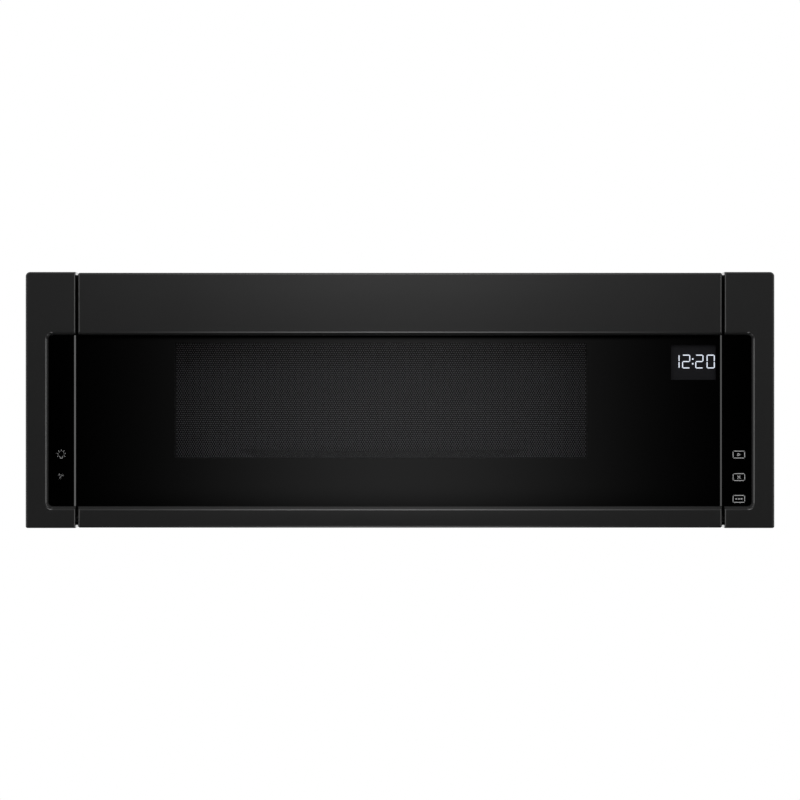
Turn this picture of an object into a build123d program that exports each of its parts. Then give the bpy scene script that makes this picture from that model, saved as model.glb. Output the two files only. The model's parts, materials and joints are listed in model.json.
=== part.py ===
"""A low over the range microwave, taken apart into the pieces it is put together from.

Millimetres, +Z up.  The front faces -Y and +X is on the viewer's right.  The origin is the middle of the
bottom of the whole object.
"""

from build123d import *
import math
import os

# ------------------------------------------------------------------ overall sizes
WIDTH = 760.0
HEIGHT = 260.0
DEPTH = 463.0
COLUMN_WIDE = 50.7         # each fixed column beside the door
DOOR_DEPTH = 40.0          # front face to inner face
DOOR_GAP = 2.5             # between the door and each column
DOOR_TOP_DROP = 0.8        # the door ends this much below the columns
DOOR_BOTTOM_RISE = 0.4
SHUT_GAP = 1.5             # between the shut door and the cabinet
REVEAL = 2.0               # the case stands this far inside the outline of the front
SHEET = 1.0                # steel sheet of the case, the base, the liner and the door pan
WALL = 2.0                 # moulded walls of the columns and of the door frame
FIT = 0.5                  # between the door pan and the frame round it
RUNNING = 0.25             # radial clearance of a pin that turns in a hole
SEAT = 0.3                 # rest gap between two bodies that lie on each other

# the front: one wide recess that holds the three pieces of glass
SIDE_STRIP = 18.9          # painted strips round the recess
TOP_STRIP = 60.2
LOW_STRIP = 18.2
RECESS_DEPTH = 4.0
LIP_STRAIGHT = 0.1         # wall left between the rounded lip of the recess and the glass
RECESS_CORNER = 8.4
GLASS = 3.0
GLASS_CLEAR = 0.2
CORNER_TOP = 4.5
CORNER_LOW = 2.0
EDGE_ROUND = 1.8

# the window and the display opening in the door
WINDOW_IN = 27.0           # window inside the cavity's width, at each side
WINDOW_UNDER = 52.9        # black glass under the window, and over it
WINDOW_OVER = 11.9
DISPLAY_WIDTH = 45.6
DISPLAY_HEIGHT = 35.6
DISPLAY_IN = 29.0          # middle, from the door's side
DISPLAY_DROP = 31.7        # middle, from the top of the recess
DISPLAY_DEPTH = 12.0

# the case
CASE_BEND = 2.5            # outer radius of the case's two bends
CASE_FLANGE = 14.0         # the sides' bent edges carry the top sheet
CASE_SCREWS = 3            # at each side

# the oven cavity
RIGHT_BAY = 158.8          # room for the power parts
BACK_SPACE = 88.0          # room for the vent blower
TOP_SPACE = 48.0           # cavity under the top of the whole object
CAVITY_FLOOR = 47.0
CAVITY_ROUND = 3.5         # bends along the four long edges
SHAFT_HOLE = 7.0           # radius of the hole for the turntable's shaft
LAMP_PORT = 11.0           # radius
OVEN_LAMP_FORWARD = 100.0  # in front of the cavity's back
OVEN_LAMP_DROP = 32.0
OVEN_LAMP_DEEP = 26.0
CUTOUT = 8.0               # radius of a thermal cut-out
CUTOUT_HIGH = 9.0
CUTOUT_IN = 96.0

# the door pan with its choke channel
PAN_DEPTH = 21.0
CHOKE_MARGIN = 33.0        # outer wall of the channel, outside the cavity mouth
TUB_MARGIN = 6.0           # inner wall of the channel, outside the cavity mouth
CHOKE_SLOT = 4.0
CHOKE_SLOT_DEPTH = 12.0
CHOKE_PITCH = 36.0
COVER = 2.0                # inner window and choke cover
COVER_LAP = 5.0
SCREEN = 0.6
SCREEN_LAP = 7.0

# hinge
HINGE_BACK = 23.5          # axis in front of the door's inner face
HINGE_Z = 10.0
HINGE_PIN = 4.0            # radius
HINGE_PLATE = 3.0
HINGE_TALL = 52.0
DAMPER = 7.0               # radius
DAMPER_LONG = 20.0

# latch
HOOK_IN = 21.8             # hook inside the door's side
HOOK_COVER_GAP = 11.2      # between a hook and the choke cover beside it
HOOK_THICK = 4.0
HOOK_SIDE = 0.6            # play beside a hook
HOOK_DROP = 25.0           # axis under the case top
HOOK_PIVOT_BACK = 14.5     # axis in front of the door's inner face
HOOK_PIN = 2.0             # radius
HOOK_ARM = 9.0             # height of the arm
HOOK_REACH = 21.0          # nose behind the cabinet's front face
HOOK_BARB = 4.0            # height of the barb over the arm
HOOK_CATCH = 1.5           # play between the barb and the front plate, and over the arm
SLOT_HIGH = 14.5
SLOT_WIDE = 8.0
SHAFT = 4.0                # radius of the release shaft
SHAFT_BACK = 40.0          # axis behind the cabinet's front face
SHAFT_DROP = 12.0          # axis under the case top
SHAFT_PAST = 18.0          # shaft end past the hook
FINGER_TIP = 2.0
BRACKET_WALL = 3.0
BRACKET_HALF = 13.0
BRACKET_TALL = 51.0
LEVER_IN = 60.0            # lever inside the right hook
LEVER = 22.0               # shaft axis to the lever's pin
PLUNGER = 3.5              # radius
PLUNGER_HEAD = 10.0        # head in front of the solenoid
PLUNGER_IN = 16.0          # rod inside the solenoid
SOLENOID_WIDE = 32.0
SOLENOID_LONG = 44.0
SOLENOID_BEHIND = 30.0     # behind the shaft's axis
SOLENOID_OVER = 14.0       # above the plunger's axis
SOLENOID_SHELF = 2.0
SOLENOID_LAP = 24.0        # of its shelf on the liner's top
SWITCH_WIDE = 10.0
SWITCH_DEEP = 16.0
SWITCH_HIGH = 28.0
SWITCH_TAG = 6.0

# turntable
PLATE_CLEAR = 12.5         # between the plate and the cavity's back
PLATE_THICK = 5.0
PLATE_RIM = 12.0
PLATE_SLOPE = 40.5         # width of the raised rim
PLATE_LIP = 1.5
TRACK_IN = 17.0            # rollers' path inside the flat of the plate
WHEEL = 8.5                # radius of a roller
WHEEL_WIDE = 9.0
RING_THICK = 4.0
RING_HIGH = 6.0
RING_GAP = 1.0             # between the ring and a roller's side
STUB = 1.8                 # radius of a roller's axle
ROLLERS = 3
COUPLER = 9.0              # radius of the hub
COUPLER_ARM = 17.0
COUPLER_ARM_WIDE = 6.0
COUPLER_ARM_TALL = 7.0
COUPLER_LIFT = 1.5         # over the cavity floor
COUPLER_PLAY = 0.6         # round the arms, in the plate's pocket
PLATE_POCKET = 1.5         # depth of the pocket under the plate
MOTOR_SHAFT = 3.0
MOTOR_SHAFT_IN = 10.0
TT_MOTOR = 25.0
TT_MOTOR_HIGH = 17.0
TT_EAR = 10.0
TT_EAR_WIDE = 12.0

# vent blower
BLOWER_WHEEL = 33.0
BLOWER_EYE = 25.0
BLOWER_LONG = 62.0
BLOWER_BLADES = 22
BLADE_THICK = 1.0
BLADE_BULGE = 1.6
BLOWER_DISC = 2.0
BLOWER_RING = 3.0
BLOWER_HUB = 10.0
BLOWER_HUB_LONG = 12.0
BLOWER_SHAFT = 4.0
BLOWER_DROP = 85.0         # axis under the case top
SCROLL_START = 36.5
SCROLL_END = 43.0
SCROLL_WALL = 1.5
BLOWER_MOTOR = 31.0
BLOWER_MOTOR_HALF = 38.0
MOTOR_ROUND = 6.0
BLOWER_SADDLE = 4.0
BLOWER_END_GAP = 4.0
BLOWER_INLET = 27.0
EXHAUST_WIDTH = 254.0
EXHAUST_DEPTH = 82.0
EXHAUST_EDGE = 3.5         # the opening's back edge in front of the rear panel

# cooling fan of the magnetron
FAN_IN = 77.0              # axis inside the case's side
FAN_DROP = 85.0            # axis under the case top
FAN_BACK = 100.0           # fan plate in front of the rear panel
FAN_RADIUS = 48.0
FAN_HUB = 13.0
FAN_BLADES = 5
FAN_LONG = 16.0
FAN_TIP_GAP = 3.0
FAN_PLATE = 118.0
FAN_WALL = 2.0
FAN_STRUT = 16.0
FAN_ROOT_TURN = 40.0       # pitch of a blade at its root and at its tip, in degrees
FAN_TIP_TURN = 24.0
FAN_SHAFT = 2.5
FAN_SHAFT_LONG = 20.0
FAN_STACK_WIDE = 56.0      # laminated core of the fan motor
FAN_STACK_TALL = 44.0
FAN_STACK_LONG = 18.0
FAN_ROTOR = 13.0
FAN_COIL = 7.0             # the coil stands this proud of the core

# power parts in the right bay
TRAY_Z = 40.0
TRAY_EDGE = 8.0
GUIDE_OUT = 36.0
GUIDE_FORWARD = 199.0      # middle, in front of the rear panel
GUIDE_LONG = 110.0
GUIDE_HIGH = 60.0
GUIDE_DROP = 44.0          # middle, under the cavity's roof
PORT_LONG = 60.0
PORT_HIGH = 36.0
PORT_LAP = 8.0
PORT_ROUND = 5.0
TUBE_BEHIND = 28.0         # magnetron behind the guide's middle
TUBE_PLATE = 2.0
TUBE_CORE = 18.0
ANTENNA = 9.0              # radius
ANTENNA_IN = 21.6
YOKE_WIDE = 66.0
YOKE_LONG = 80.0
YOKE_HIGH = 78.0
YOKE_WALL = 2.5
TUBE_BOX = 30.0
TUBE_BOX_IN = 11.0
COOLING_FINS = 7
FIN_THICK = 0.8
FIN_IN = 6.0
TRANSFORMER_IN = 85.0      # middle, inside the case's side
TRANSFORMER_BEHIND = 104.0 # middle, behind the cabinet's front face
TRANSFORMER_LONG = 96.0
TRANSFORMER_DEEP = 60.0
TRANSFORMER_HIGH = 82.0
TRANSFORMER_FOOT = 2.0
TRANSFORMER_LAP = 8.0
LIMB = 12.0                # core beside the coils
COIL_HIGH = 26.0
COIL_GAP = 6.0
COIL_OUT = 14.0
COIL_ROUND = 10.0
CAPACITOR_LONG = 92.0
CAPACITOR_WIDE = 34.0
CAPACITOR_HIGH = 50.0
CAPACITOR_BEHIND = 82.0    # behind the transformer
TERMINAL = 3.0
TERMINAL_HIGH = 10.0
TERMINAL_HALF = 12.0
BOARD = 1.6
BOARD_STANDOFF = 11.0
BOARD_POST = 3.0
BOARD_EDGE = 10.0
BOARD_LOW = 14.0
BOARD_TOP = 8.0
POST_IN = 8.0
RELAYS = 3
RELAY = 18.0
RELAY_PITCH = 24.0
RELAY_OUT = 16.0
RELAY_TALL = 24.0
RELAY_DROP = 16.0
PANEL_SUPPLY = 40.0        # the small transformer on the control board
PANEL_SUPPLY_OUT = 22.0
PANEL_SUPPLY_DROP = 50.0
INPUT_BOARD_IN = 14.0
INPUT_BOARD_LONG = 70.0
INPUT_BOARD_WIDE = 36.0
INPUT_BOARD_LIFT = 6.0
INPUT_CHOKE_HIGH = 24.0

# base
FILTER_LONG = 194.0
FILTER_WIDE = 127.0
FILTER_THICK = 9.0
FILTER_IN = 151.0          # middle, inside the case's side
FILTER_FORWARD = 137.0     # middle, in front of the rear panel
FILTER_CLEAR = 0.3
FILTER_EDGE = 9.0
FILTER_ROUND = 3.0
FILTER_DISH = 2.0          # the pad lies this deep in its frame
LAMP_IN = 212.0            # middle, inside the case's side
LAMP_BEHIND = 62.0         # middle, behind the cabinet's front face
LAMP_LONG = 72.0
LAMP_WIDE = 44.0
LAMP_HIGH = 20.0
LAMP_EDGE = 6.0
LAMP_ROOF = 3.0
LENS = 2.0
BASE_LIP = 12.0
INTAKE_SLOTS = 8
INTAKE_PITCH = 12.0
INTAKE_LONG = 50.0
INTAKE_IN = 125.0          # first slot, inside the case's side
INTAKE_BEHIND = 65.0

# wall plate and outside fixings
WALL_PLATE = 1.5
WALL_PLATE_INSET = 28.0
WALL_PLATE_LOW = 12.0
WALL_PLATE_TALL = 120.0
STUD_PITCH = 406.4
STUD_ROWS = 76.2
WALL_HOLE = 3.5
WALL_HOOK_IN = 87.0        # hook inside the case's side
WALL_HOOK_WIDE = 40.0
WALL_HOOK_Z = 15.0
WALL_HOOK_TALL = 9.0
WALL_HOOK_PLAY = 1.0
WALL_WINDOW_PITCH = 101.6
WALL_WINDOW_WIDE = 70.0
TOP_BOLT_IN = 147.0        # inside the case's side
TOP_BOLT_BACK = 75.0       # behind the cabinet's front face
TOP_BOLT = 3.175
NUT = 8.0
NUT_HIGH = 9.0
GLAND_IN = 42.0            # inside the case's side
GLAND_FORWARD = 32.0       # in front of the rear panel
GLAND = 11.0
GLAND_BORE = 5.0
GLAND_LONG = 8.0
GLAND_NUT = 4.0
GLAND_NUT_HIGH = 6.0
SCREW = 1.9
SCREW_HEAD = 3.8
SCREW_HEAD_HIGH = 1.5

# ------------------------------------------------------------------ places worked out from the sizes
FRONT = -DEPTH / 2
BACK = DEPTH / 2
DOOR_HALF = WIDTH / 2 - COLUMN_WIDE - DOOR_GAP
DOOR_BACK = FRONT + DOOR_DEPTH
DOOR_LOW = DOOR_BOTTOM_RISE
DOOR_HIGH = HEIGHT - DOOR_TOP_DROP
CABINET = DOOR_BACK + SHUT_GAP                 # front face of the cabinet
PANEL_BACK = BACK - WALL_PLATE                 # back face of the rear panel
PANEL_FRONT = PANEL_BACK - SHEET
CASE_HALF = WIDTH / 2 - REVEAL
CASE_TOP = HEIGHT - REVEAL
INNER_HALF = CASE_HALF - SHEET
INNER_TOP = CASE_TOP - SHEET
BASE_TOP = REVEAL + SHEET
COLUMN_IN = DOOR_HALF + DOOR_GAP
RECESS_HALF = WIDTH / 2 - SIDE_STRIP
RECESS_LOW = LOW_STRIP
RECESS_HIGH = HEIGHT - TOP_STRIP
GLASS_FRONT = FRONT + RECESS_DEPTH
GLASS_BACK = GLASS_FRONT + GLASS
WEB_BACK = GLASS_BACK + WALL
LIP_ROUND = RECESS_DEPTH - LIP_STRAIGHT
SEAT_HALF = RECESS_HALF - LIP_ROUND
SEAT_LOW = RECESS_LOW + LIP_ROUND
SEAT_HIGH = RECESS_HIGH - LIP_ROUND

HOOK_X = DOOR_HALF - HOOK_IN
CAVITY_LEFT = HOOK_COVER_GAP + COVER_LAP + CHOKE_MARGIN - HOOK_X
CAVITY_RIGHT = INNER_HALF - RIGHT_BAY - SHEET
CAVITY_TOP = HEIGHT - TOP_SPACE
CAVITY_BACK = PANEL_FRONT - BACK_SPACE - SHEET
LINER_RIGHT = CAVITY_RIGHT + SHEET
LINER_LEFT = CAVITY_LEFT - SHEET
LINER_TOP = CAVITY_TOP + SHEET
LINER_LOW = CAVITY_FLOOR - SHEET
LINER_BACK = CAVITY_BACK + SHEET
PLATE_BACK = CABINET + SHEET                   # back face of the cavity's front plate
OVEN_LAMP_Y = CAVITY_BACK - OVEN_LAMP_FORWARD
OVEN_LAMP_Z = CAVITY_TOP - OVEN_LAMP_DROP

WINDOW_SPAN_X = (CAVITY_LEFT + WINDOW_IN, CAVITY_RIGHT - WINDOW_IN)
WINDOW_SPAN_Z = (RECESS_LOW + WINDOW_UNDER, RECESS_HIGH - WINDOW_OVER)
DISPLAY_X = DOOR_HALF - DISPLAY_IN
DISPLAY_Z = RECESS_HIGH - DISPLAY_DROP
DISPLAY_SPAN_X = (DISPLAY_X - DISPLAY_WIDTH / 2, DISPLAY_X + DISPLAY_WIDTH / 2)
DISPLAY_SPAN_Z = (DISPLAY_Z - DISPLAY_HEIGHT / 2, DISPLAY_Z + DISPLAY_HEIGHT / 2)

FLANGE_BACK = DOOR_BACK - COVER
FLANGE_FRONT = FLANGE_BACK - SHEET
PAN_FRONT = FLANGE_BACK - PAN_DEPTH
CHOKE_X = (CAVITY_LEFT - CHOKE_MARGIN, CAVITY_RIGHT + CHOKE_MARGIN)
CHOKE_Z = (CAVITY_FLOOR - CHOKE_MARGIN, CAVITY_TOP + CHOKE_MARGIN)
TUB_X = (CAVITY_LEFT - TUB_MARGIN, CAVITY_RIGHT + TUB_MARGIN)
TUB_Z = (CAVITY_FLOOR - TUB_MARGIN, CAVITY_TOP + TUB_MARGIN)

HINGE_Y = DOOR_BACK - HINGE_BACK
HOOK_PIVOT_Y = DOOR_BACK - HOOK_PIVOT_BACK
HOOK_PIVOT_Z = INNER_TOP - HOOK_DROP
HOOK_LOW = HOOK_PIVOT_Z - HOOK_ARM / 2
HOOK_HIGH = HOOK_PIVOT_Z + HOOK_ARM / 2
SLOT_SPAN_Z = (HOOK_HIGH + HOOK_CATCH - SLOT_HIGH, HOOK_HIGH + HOOK_CATCH)
SHAFT_Y = CABINET + SHAFT_BACK
SHAFT_Z = INNER_TOP - SHAFT_DROP
BRACKET_LOW = INNER_TOP - BRACKET_TALL
LEVER_X = HOOK_X - LEVER_IN
LEVER_Z = SHAFT_Z - LEVER
SOLENOID_Y = (SHAFT_Y + SOLENOID_BEHIND, SHAFT_Y + SOLENOID_BEHIND + SOLENOID_LONG)

TURNTABLE_X = (CAVITY_LEFT + CAVITY_RIGHT) / 2
TURNTABLE_Y = (CABINET + CAVITY_BACK) / 2
PLATE_RADIUS = (CAVITY_BACK - CABINET) / 2 - PLATE_CLEAR
PLATE_FLAT = PLATE_RADIUS - PLATE_SLOPE
TRACK = PLATE_FLAT - TRACK_IN                  # radius of the rollers' path
WHEEL_Z = CAVITY_FLOOR + SEAT + WHEEL
PLATE_Z = WHEEL_Z + WHEEL + SEAT               # underside of the glass plate
COUPLER_LOW = CAVITY_FLOOR + COUPLER_LIFT
COUPLER_HIGH = PLATE_Z + PLATE_POCKET - SEAT

BLOWER_Y = (LINER_BACK + PANEL_FRONT) / 2
BLOWER_Z = INNER_TOP - BLOWER_DROP
BLOWER_IN = BLOWER_MOTOR_HALF + SCROLL_WALL + BLOWER_END_GAP
BLOWER_OUT = BLOWER_IN + BLOWER_LONG
SCROLL_X = (BLOWER_MOTOR_HALF, BLOWER_OUT + BLOWER_END_GAP + SCROLL_WALL)
EXHAUST_Y = PANEL_FRONT - EXHAUST_EDGE - EXHAUST_DEPTH / 2
TRAY_TOP = TRAY_Z + SHEET
FAN_X = INNER_HALF - FAN_IN
FAN_Y = PANEL_FRONT - FAN_BACK
FAN_Z = INNER_TOP - FAN_DROP
GUIDE_X = (LINER_RIGHT, LINER_RIGHT + GUIDE_OUT)
GUIDE_Y = PANEL_FRONT - GUIDE_FORWARD
GUIDE_Z = CAVITY_TOP - GUIDE_DROP
TUBE_Y = GUIDE_Y + TUBE_BEHIND
TRANSFORMER_X = INNER_HALF - TRANSFORMER_IN
TRANSFORMER_Y = CABINET + TRANSFORMER_BEHIND
FILTER_X = INNER_HALF - FILTER_IN
FILTER_Y = PANEL_FRONT - FILTER_FORWARD
LAMP_X = INNER_HALF - LAMP_IN
LAMP_Y = CABINET + LAMP_BEHIND
INTAKE_X = INNER_HALF - INTAKE_IN
INTAKE_Y = CABINET + INTAKE_BEHIND
WALL_HOOK_X = INNER_HALF - WALL_HOOK_IN
TOP_BOLT_X = INNER_HALF - TOP_BOLT_IN
TOP_BOLT_Y = CABINET + TOP_BOLT_BACK
GLAND_X = INNER_HALF - GLAND_IN
GLAND_Y = PANEL_FRONT - GLAND_FORWARD


# ------------------------------------------------------------------ small helpers
def block(x, y, z):
    """A box between a low and a high value on each axis."""
    box = Box(x[1] - x[0], y[1] - y[0], z[1] - z[0], align=(Align.MIN, Align.MIN, Align.MIN))
    return Pos(x[0], y[0], z[0]) * box


def centred(at, size):
    """A low and a high value about a middle."""
    return (at - size / 2, at + size / 2)


def inset(span, by):
    """The same span, smaller by a margin at both ends."""
    return (span[0] + by, span[1] - by)


def rod(radius, low, high):
    """A round bar along Z."""
    bar = Cylinder(radius, high - low, align=(Align.CENTER, Align.CENTER, Align.MIN))
    return Pos(0, 0, low) * bar


def rod_x(radius, x, y, z):
    """A round bar along X."""
    return Pos(0, y, z) * Rot(0, 90, 0) * rod(radius, x[0], x[1])


def rod_y(radius, x, y, z):
    """A round bar along Y."""
    return Pos(x, 0, z) * Rot(-90, 0, 0) * rod(radius, y[0], y[1])


def rod_z(radius, x, y, z):
    """A round bar along Z at a place."""
    return Pos(x, y, 0) * rod(radius, z[0], z[1])


def along_x(sketch, x):
    """A profile drawn in Y and Z, pulled along X."""
    return Pos(x[0], 0, 0) * extrude(Plane.YZ * sketch, x[1] - x[0])


def along_y(sketch, y):
    """A profile drawn in X and Z, pulled along Y."""
    return Pos(0, y[1], 0) * extrude(Plane.XZ * sketch, y[1] - y[0])


def polygon(*points):
    """A flat face with straight sides."""
    return make_face(Polyline(*points, close=True))


def rounded(x, y, z, radius, axis=Axis.Z):
    """A box whose four edges along one axis are rounded."""
    shape = block(x, y, z)
    return fillet(shape.edges().filter_by(axis), radius)


def mirrored(shape):
    """The same shape on the other side of the middle."""
    return shape.mirror(Plane.YZ)


def both(shape):
    """A shape and its mirror image."""
    return [shape, mirrored(shape)]


def save(name, *pieces):
    """Write one named sub-part, which may be several separate solids."""
    solids = [solid for piece in pieces for solid in piece.solids()]
    export_step(Compound(children=solids), f"parts/{name}.step")


def pan_screw(depth):
    """A pan-head screw whose head stands on z = 0 and whose shank goes down."""
    head = rod(SCREW_HEAD, 0, SCREW_HEAD_HIGH)
    head = fillet(head.faces().sort_by(Axis.Z)[-1].edges(), SCREW_HEAD_HIGH / 2)
    return head + rod(SCREW, -depth, 0)


# ------------------------------------------------------------------ front: recess, glass and columns
def recess():
    """The recess over the whole front: a mouth with a rounded lip, and the straight seat for the glass."""
    y = (FRONT, GLASS_BACK)
    room = block((-WIDTH, WIDTH), y, (-HEIGHT, 2 * HEIGHT))
    surround = room - glass_outline(0, y)
    mouth = surround.faces().sort_by(Axis.Y)[0].inner_wires()[0]
    return room - fillet(mouth.edges(), LIP_ROUND)


def glass_outline(clearance, y):
    """The outline of the glass over the whole front, less a clearance all round, pulled along Y."""
    width = 2 * (SEAT_HALF - clearance)
    height = SEAT_HIGH - SEAT_LOW - 2 * clearance
    outline = RectangleRounded(width, height, RECESS_CORNER - LIP_ROUND)
    middle = (SEAT_LOW + SEAT_HIGH) / 2
    return along_y(Pos(0, middle) * outline, y)


def glass_piece(x):
    """One piece of the front glass, between two X values."""
    y = (GLASS_FRONT, GLASS_BACK)
    return glass_outline(GLASS_CLEAR, y) & block(x, y, (0, HEIGHT))


def column_board_x():
    """Where the touch board sits behind the column glass."""
    return inset((COLUMN_IN + WALL, SEAT_HALF), WALL)


def column_posts():
    """Middles of the two screw posts of a column, as X and Z."""
    post_x = (SEAT_HALF + WIDTH / 2) / 2
    return [(post_x, SEAT_LOW + SCREW_HEAD), (post_x, HEIGHT - CORNER_TOP - 2 * SCREW_HEAD)]


def right_column():
    """The hollow moulding beside the door, open at the back, with its ledge for the glass."""
    x = (COLUMN_IN, WIDTH / 2)
    shell = block(x, (FRONT, CABINET), (0, HEIGHT))
    outer_top = shell.edges().filter_by(Axis.Y).sort_by_distance((x[1], 0, HEIGHT))[0]
    shell = fillet(outer_top, CORNER_TOP)
    outer_low = shell.edges().filter_by(Axis.Y).sort_by_distance((x[1], 0, 0))[0]
    shell = fillet(outer_low, CORNER_LOW)
    shell = fillet(shell.faces().sort_by(Axis.Y)[0].edges(), EDGE_ROUND)
    shell -= recess()
    shell -= block(inset(x, WALL), (WEB_BACK, CABINET), (WALL, HEIGHT - WALL))
    strip_front = FRONT + WALL
    shell -= block(inset(x, WALL), (strip_front, CABINET), (RECESS_HIGH + WALL, HEIGHT - WALL))
    side_strip = (RECESS_HALF + WALL, WIDTH / 2 - WALL)
    shell -= block(side_strip, (strip_front, CABINET), (WALL, HEIGHT - WALL))
    board_z = inset((SEAT_LOW, SEAT_HIGH), 2 * WALL)
    shell -= block(column_board_x(), (GLASS_BACK, WEB_BACK), board_z)
    for post_x, post_z in column_posts():
        shell += rod_y(SCREW_HEAD, post_x, (strip_front, CABINET), post_z)
        shell -= rod_y(SCREW, post_x, (CABINET - DOOR_DEPTH / 2, CABINET), post_z)
    return shell - rod_x(HINGE_PIN + 2 * RUNNING, (x[0], x[0] + WALL), HINGE_Y, HINGE_Z)


def touch_board():
    """The key board that lies on the back of the column glass, with its plug."""
    x = inset(column_board_x(), GLASS_CLEAR)
    z = inset((SEAT_LOW, SEAT_HIGH), 2 * WALL + GLASS_CLEAR)
    board = block(x, (GLASS_BACK, GLASS_BACK + BOARD), z)
    plug_x = centred(sum(x) / 2, (x[1] - x[0]) / 2)
    plug_z = centred(z[1] - TERMINAL_HALF, TERMINAL_HALF)
    return board + block(plug_x, (GLASS_BACK + BOARD, WEB_BACK + WALL), plug_z)


def column_screws():
    """Screws that go from inside the cabinet into the posts of both columns."""
    screws = []
    for post_x, post_z in column_posts():
        screw = Pos(post_x, PLATE_BACK, post_z) * Rot(-90, 0, 0) * pan_screw(DOOR_DEPTH / 2)
        screws += both(screw)
    return screws


# ------------------------------------------------------------------ cabinet shell
def case_section(y, low):
    """A solid that fills the inside of the case, between two Y values and above a height."""
    section = block((-INNER_HALF, INNER_HALF), y, (low, INNER_TOP))
    return fillet(section.edges().filter_by(Axis.Y).group_by(Axis.Z)[-1], CASE_BEND - SHEET)


def outer_case():
    """The top sheet and the two side sheets, whose bent upper edges it is welded to."""
    y = (CABINET, PANEL_BACK)
    case = block((-CASE_HALF, CASE_HALF), y, (REVEAL, CASE_TOP))
    case = fillet(case.edges().filter_by(Axis.Y).group_by(Axis.Z)[-1], CASE_BEND)
    case -= case_section(y, REVEAL)
    for y_screw, z_screw in case_screw_places():
        case -= rod_x(SCREW, (-CASE_HALF, CASE_HALF), y_screw, z_screw)
    seam = CASE_HALF - CASE_FLANGE
    top = case & block((-seam, seam), y, (INNER_TOP, CASE_TOP))
    top -= block(centred(0, EXHAUST_WIDTH), centred(EXHAUST_Y, EXHAUST_DEPTH), (INNER_TOP, CASE_TOP))
    top -= rod_z(GLAND, GLAND_X, GLAND_Y, (INNER_TOP, CASE_TOP))
    for x in (-TOP_BOLT_X, TOP_BOLT_X):
        top -= rod_z(TOP_BOLT, x, TOP_BOLT_Y, (INNER_TOP, CASE_TOP))
    return [top, *both(case & block((seam, CASE_HALF), y, (REVEAL, CASE_TOP)))]


def case_screw_places():
    """Y and Z of the screws through each side of the case into the base's lips."""
    first, last = inset((CABINET, PANEL_BACK), 5 * SCREW_HEAD)
    pitch = (last - first) / (CASE_SCREWS - 1)
    return [(first + index * pitch, BASE_TOP + BASE_LIP / 2) for index in range(CASE_SCREWS)]


def case_screws():
    """The screws at both sides of the case."""
    screws = []
    for y, z in case_screw_places():
        screws += both(Pos(CASE_HALF, y, z) * Rot(0, 90, 0) * pan_screw(3 * SHEET))
    return screws


def rear_panel():
    """The back sheet, with slots for the wall plate's hooks."""
    y = (PANEL_FRONT, PANEL_BACK)
    panel = case_section(y, BASE_TOP)
    hook_z = inset((WALL_HOOK_Z, WALL_HOOK_Z + WALL_HOOK_TALL), -WALL_HOOK_PLAY)
    for x in (-WALL_HOOK_X, WALL_HOOK_X):
        panel -= block(centred(x, WALL_HOOK_WIDE + 2 * WALL_HOOK_PLAY), y, hook_z)
    return panel


def base_plate():
    """The underside, with a turned-up lip at both sides and openings for filters and lamps."""
    base = block((-INNER_HALF, INNER_HALF), (CABINET, PANEL_BACK), (REVEAL, BASE_TOP))
    lip_y = (PLATE_BACK, PANEL_FRONT)
    for lip in both(block((INNER_HALF - SHEET, INNER_HALF), lip_y, (BASE_TOP, BASE_TOP + BASE_LIP))):
        base += lip
    for y_screw, z_screw in case_screw_places():
        base -= rod_x(SCREW, (-INNER_HALF, INNER_HALF), y_screw, z_screw)
    for side in (-1, 1):
        filter_x = centred(side * FILTER_X, FILTER_LONG + 2 * FILTER_CLEAR)
        filter_y = centred(FILTER_Y, FILTER_WIDE + 2 * FILTER_CLEAR)
        tall = (REVEAL, REVEAL + FILTER_THICK)
        collar = block(inset(filter_x, -SHEET), inset(filter_y, -SHEET), tall)
        base += collar
        base -= block(filter_x, filter_y, tall)
        base -= block(centred(side * LAMP_X, LAMP_LONG), centred(LAMP_Y, LAMP_WIDE), (REVEAL, BASE_TOP))
    for row in range(INTAKE_SLOTS):
        slot_x = INTAKE_X + row * INTAKE_PITCH
        base -= block(centred(slot_x, INTAKE_PITCH / 2), centred(INTAKE_Y, INTAKE_LONG), (REVEAL, BASE_TOP))
    return base


def component_tray():
    """The floor of the right bay, over the air space, with its front and back edges turned down."""
    x = (LINER_RIGHT, INNER_HALF)
    tray = block(x, (PLATE_BACK, PANEL_FRONT), (TRAY_Z, TRAY_TOP))
    edge = block(x, (PLATE_BACK, PLATE_BACK + SHEET), (TRAY_Z - TRAY_EDGE, TRAY_Z))
    back = block(x, (PANEL_FRONT - SHEET, PANEL_FRONT), (TRAY_Z - TRAY_EDGE, TRAY_Z))
    return tray + edge + back


def wall_mounting_plate():
    """The plate that is screwed to the wall, with two hooks that carry the cabinet's back."""
    half = WIDTH / 2 - WALL_PLATE_INSET
    z = (WALL_PLATE_LOW, WALL_PLATE_LOW + WALL_PLATE_TALL)
    y = (PANEL_BACK, BACK)
    plate = rounded((-half, half), y, z, CORNER_TOP, Axis.Y)
    for x in (-STUD_PITCH / 2, STUD_PITCH / 2):
        for z_hole in centred(sum(z) / 2, STUD_ROWS):
            plate -= rod_y(WALL_HOLE, x, y, z_hole)
    for x in (-WALL_HOOK_X, WALL_HOOK_X):
        wide = centred(x, WALL_HOOK_WIDE)
        plate += block(wide, (PANEL_FRONT - 2 * WALL_PLATE, BACK), (WALL_HOOK_Z, WALL_HOOK_Z + WALL_PLATE))
        tip = (PANEL_FRONT - 3 * WALL_PLATE, PANEL_FRONT - 2 * WALL_PLATE)
        plate += block(wide, tip, (WALL_HOOK_Z, WALL_HOOK_Z + WALL_HOOK_TALL))
    window_z = inset(z, STUD_ROWS / 3)
    for x in (-WALL_WINDOW_PITCH, 0, WALL_WINDOW_PITCH):
        plate -= rounded(centred(x, WALL_WINDOW_WIDE), y, window_z, CORNER_TOP, Axis.Y)
    return plate


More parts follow.
